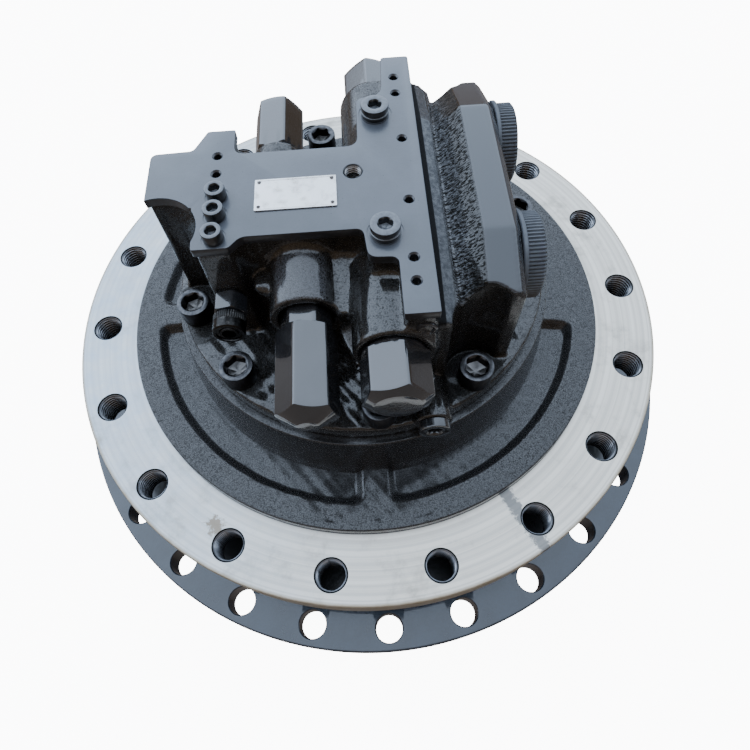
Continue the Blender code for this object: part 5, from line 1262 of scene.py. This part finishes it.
class FINALDRIVE_OT_port_covers(bpy.types.Operator):
    """Ribbed plastic covers on the two main ports"""

    bl_idname = "finaldrive.port_covers"
    bl_label = "Port covers"

    def execute(self, context):
        plastic = ribbed_plastic(tuple(context.scene.final_drive_paints.plastic))
        angles = around(432)
        side = 27.4 + 0.65 * np.clip(np.cos(angles * 72) * 1.6 + 0.3, -1, 1)
        rows = [(0, -13), (15.0, -13), (15.6, -12), (15.6, 0.3), (29.4, 0.3), (30.0, 0.8),
                (30.0, 2.6), (29.4, 3.2), (side, 3.4), (side, 13.6), (26.6, 14.9),
                (24.6, 15.2), (23.6, 14.2), (22.0, 12.6), (8.0, 12.6), (7.0, 13.8),
                (5.6, 14.2), (0, 14.2)]
        for y, name in PORTS:
            place = (PORT_FACE * MM, y * MM, FACE + PORT_HEIGHT * MM)
            shape = laid(revolved(rows, angles), (1, 0, 0), place)
            piece("port_cover_cap_" + name, shape, plastic,
                  ("port_cover_" + name,))
        return {"FINISHED"}


class FINALDRIVE_OT_hub(bpy.types.Operator):
    """Hub with the sprocket flange and its holes"""

    bl_idname = "finaldrive.hub"
    bl_label = "Hub"

    def execute(self, context):
        sizes = context.scene.final_drive_sizes
        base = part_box("hub")[0].z / MM
        face = HUB_FACE / MM
        low = face - 22
        corners = [(176, base), (BARREL, base), (BARREL, base + 9), (233.6, base + 9.8),
                   (233.6, base + 11.4), (BARREL, base + 12.2), (BARREL, low),
                   (SPROCKET_RADIUS, low), (SPROCKET_RADIUS, face), (212, face), (200, face + 3),
                   (200, face + HUB_RIM), (172, face + HUB_RIM), (172, face + 12.1),
                   (170, face + 12.1), (170, face - 16.5),
                   (158, face - 16.5), (158, face - 43.9), (170, face - 43.9), (170, face - 73.2),
                   (176, face - 73.2)]
        radii = [0, 1.5, 0.3, 0.3, 0.3, 0.3, 5, 1.5, 2.0, 4, 9, 2.5, 1] + [0] * 8
        hole = turned([(0, -26), (12, -26), (12, -22.4), (11, -21.4), (11, -0.8), (12, 0.2),
                       (12, 4), (0, 4)], 36, loop=False)
        holes = []
        for i in range(sizes.sprocket_holes):
            angle = FIRST_SPROCKET_HOLE + 360 * i / sizes.sprocket_holes
            holes.append(laid(hole, at=on_circle(SPROCKET_CIRCLE, angle, HUB_FACE)))
        colour = tuple(context.scene.final_drive_paints.hub)
        # Painted shade on the sprocket flange under the frame flange, inside 240 mm
        paint = gloss_paint("hub_paint", colour, 0.24, 0.00016, gloss=1.55, covered=0.240)
        shape = carved(turned(eased(corners, radii), 240), holes)
        piece("hub_housing", shape, paint, ("hub",), TURNING)
        return {"FINISHED"}


class FINALDRIVE_OT_ring_gear(bpy.types.Operator):
    """Ring gear with its inner teeth"""

    bl_idname = "finaldrive.ring_gear"
    bl_label = "Ring gear"

    def execute(self, context):
        low, high = (corner.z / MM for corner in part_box("ring_gear"))
        angles = around(RING_TEETH * 10)
        share = (angles * RING_TEETH / TAU) % 1.0
        tooth = np.clip((np.abs(share - 0.5) - 0.13) / 0.20, 0, 1)
        inner = 176.8 + 12.7 * (1 - tooth)
        rows = [(inner, low), (BARREL - 1.2, low), (BARREL, low + 1.2), (BARREL, low + 18),
                (BARREL - 0.8, low + 18.8), (BARREL - 0.8, high - 18.8), (BARREL, high - 18),
                (BARREL, high - 1.2), (BARREL - 1.2, high), (inner, high)]
        colour = tuple(context.scene.final_drive_paints.hub)
        paint = gloss_paint("ring_gear_paint", colour, 0.28, 0.00020)
        piece("ring_gear_shell", revolved(rows, angles, loop=True), paint,
              ("ring_gear",), TURNING)
        return {"FINISHED"}


class FINALDRIVE_OT_end_cover(bpy.types.Operator):
    """Dished end cover with its hexagon screws and oil plugs"""

    bl_idname = "finaldrive.end_cover"
    bl_label = "End cover"

    def execute(self, context):
        corners = [(0, 0), (182, 0), (186, 4), (190, 14), (BARREL, 14), (BARREL, 30), (176, 30),
                   (170, 14), (24, 14), (20, 30.2), (0, 30.2)]
        profile = eased(corners, (0, 3, 3, 3, 2, 1.5, 1, 5, 3, 1, 0), closed=False)
        plugs = [laid(turned([(0, -9), (17, -9), (17, 2.5), (0, 2.5)], 40, loop=False),
                      at=on_circle(OIL_PLUG_CIRCLE, angle)) for angle in OIL_PLUGS]
        colour = tuple(context.scene.final_drive_paints.hub)
        paint = gloss_paint("end_cover_paint", colour, 0.26, 0.00022)
        shape = carved(turned(profile, 240, loop=False), plugs)
        piece("end_cover_dish", shape, paint, ("end_cover",), TURNING)
        angles, flat = hex_ring(24.0, 0.6, per_side=3)
        back = np.minimum(flat, 12.2)
        rows = [(0, -1), (7.8, -1), (7.8, 1), (13.6, 1), (13.6, 1.8), (flat, 1.8),
                (flat, 9.6 - (flat - back) * 0.6), (back - 0.3, 9.8), (0, 9.8)]
        head = revolved(rows, angles)
        heads = []
        for i in range(COVER_SCREWS):
            angle = 360 / COVER_SCREWS * (i + 0.5)
            heads.append(laid(head, (0, 0, -1), on_circle(COVER_SCREW_CIRCLE, angle, 15 * MM),
                              0.3 * i))
        zinc = zinc_metal()
        piece("cover_screws", gathered(heads), zinc, body=TURNING)
        plug = socket_screw(15.5, 2.2, 14.0, 1.7, 12.0, 3.0, [(15.5, 0.0), (15.5, 1.6)])
        shapes = [laid(plug, (0, 0, -1), on_circle(OIL_PLUG_CIRCLE, angle, 2.4 * MM))
                  for angle in OIL_PLUGS]
        piece("oil_plugs", gathered(shapes), zinc, body=TURNING)
        return {"FINISHED"}


class FINALDRIVE_OT_works(bpy.types.Operator):
    """Steels and bronze of the gears, bearings, seal, pump and brake inside"""

    bl_idname = "finaldrive.works"
    bl_label = "Inner works"

    def execute(self, context):
        gear = steel_inside("gear_steel", (0.40, 0.40, 0.41), 0.28)
        ground = steel_inside("ground_bearing_steel", (0.62, 0.62, 0.63), 0.14)
        bronze = steel_inside("sliding_bronze", (0.50, 0.33, 0.14), 0.26)
        for name, node in frame["nodes"].items():
            if node.hide_render:
                continue
            finish = gear
            if any(word in name for word in ("bearing", "seal", "spool", "spring", "piston_set")):
                finish = ground
            if name in ("valve_plate", "brake_discs"):
                finish = bronze
            for holder in node.material_slots:
                holder.material = finish
        return {"FINISHED"}


class FINALDRIVE_OT_stage(bpy.types.Operator):
    """Camera, floor and soft light"""

    bl_idname = "finaldrive.stage"
    bl_label = "Stage"

    def execute(self, context):
        scene = context.scene
        lens = bpy.data.cameras.new("photo_view")
        lens.lens = CAMERA_LENS
        lens.sensor_width = 36.0
        lens.clip_start = 0.01
        camera = bpy.data.objects.new("photo_view", lens)
        right, down, ahead = (Vector(way) for way in (CAMERA_RIGHT, CAMERA_DOWN, CAMERA_AHEAD))
        turn = Matrix((right, -down, -ahead)).transposed().to_4x4()
        camera.matrix_world = Matrix.Translation(CAMERA_PLACE) @ turn
        scene.collection.objects.link(camera)
        scene.camera = camera
        self.floor(scene)
        self.sky(scene)
        return {"FINISHED"}

    def floor(self, scene):
        """Round floor under the part: pale, but dull and warm in the part's gloss."""
        floor = raw_object("floor", turned([(0, 0), (6000, 0)], 96, loop=False))
        weld(floor.data)
        f = Finish("floor_paint", roughness=0.9, base_color=(0.17, 0.13, 0.10))
        cloud = f.noise(3.0, 3.0)
        colour = tuple(scene.final_drive_paints.floor)
        pale = f.tint(cloud, colour, times(colour, 0.97))
        bright = f.node("ShaderNodeBsdfPrincipled", {}, {
            "Base Color": pale, "Roughness": 0.9, "Emission Color": pale,
            "Emission Strength": 12.0})
        ray = f.node("ShaderNodeLightPath", {}, {})
        mix = f.node("ShaderNodeMixShader", {}, {
            0: ray.outputs["Is Camera Ray"], 1: f.shader.outputs[0], 2: bright.outputs[0]})
        f.feed(f.tree.nodes["Material Output"], {"Surface": mix.outputs[0]})
        floor.data.materials.append(f.material)

    def sky(self, scene):
        """A soft sky: cool and bright beyond the part and overhead, dim and warm behind the
        camera and low down, and a little brighter on the left.
        """
        world = bpy.data.worlds.new("soft_sky")
        scene.world = world
        world.use_nodes = True
        w = Shading(world.node_tree)
        place = w.node("ShaderNodeTexCoord", {}, {})
        split = w.node("ShaderNodeSeparateXYZ", {}, {0: place.outputs["Generated"]})
        x, y, z = (Number(w, out) for out in split.outputs)
        along = y / (y * y + z * z + 1e-4) ** 0.5
        share = along.rise(-0.54, -0.26) * 0.78 + along.rise(-0.20, 0.45) * 0.22
        high = z.rise(0.02, 0.30)
        left = 1.0 - x * 0.30
        cool = w.tint(share, (0.125, 0.095, 0.070), (0.76, 0.91, 1.13))
        colour = w.tint(high, (0.095, 0.070, 0.048), cool)
        w.feed(world.node_tree.nodes["Background"],
               {0: colour, 1: left * scene.final_drive_paints.sky})


class FINALDRIVE_PT_build(bpy.types.Panel):
    """Sizes, paints and the steps that build the drive"""

    bl_idname = "FINALDRIVE_PT_build"
    bl_label = "Final drive"
    bl_space_type = "VIEW_3D"
    bl_region_type = "UI"
    bl_category = "Final drive"

    def draw(self, context):
        for group in (context.scene.final_drive_sizes, context.scene.final_drive_paints):
            for name in group.__annotations__:
                self.layout.prop(group, name)
        for operator in OPERATORS:
            self.layout.operator(operator.bl_idname)


OPERATORS = (
    FINALDRIVE_OT_stage, FINALDRIVE_OT_frame_flange, FINALDRIVE_OT_case, FINALDRIVE_OT_cover,
    FINALDRIVE_OT_top_plate, FINALDRIVE_OT_screws, FINALDRIVE_OT_caps, FINALDRIVE_OT_plugs,
    FINALDRIVE_OT_name_plate, FINALDRIVE_OT_port_covers, FINALDRIVE_OT_hub,
    FINALDRIVE_OT_ring_gear, FINALDRIVE_OT_end_cover, FINALDRIVE_OT_works,
)
CLASSES = (FinalDriveSizes, FinalDrivePaints, *OPERATORS, FINALDRIVE_PT_build)


def register():
    for each in CLASSES:
        bpy.utils.register_class(each)
    bpy.types.Scene.final_drive_sizes = PointerProperty(type=FinalDriveSizes)
    bpy.types.Scene.final_drive_paints = PointerProperty(type=FinalDrivePaints)


def unregister():
    del bpy.types.Scene.final_drive_paints
    del bpy.types.Scene.final_drive_sizes
    for each in reversed(CLASSES):
        bpy.utils.unregister_class(each)


def main():
    """Builds every piece."""
    register()
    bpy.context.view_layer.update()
    for operator in OPERATORS:
        group, name = operator.bl_idname.split(".")
        getattr(getattr(bpy.ops, group), name)()


if __name__ == "__main__":
    main()
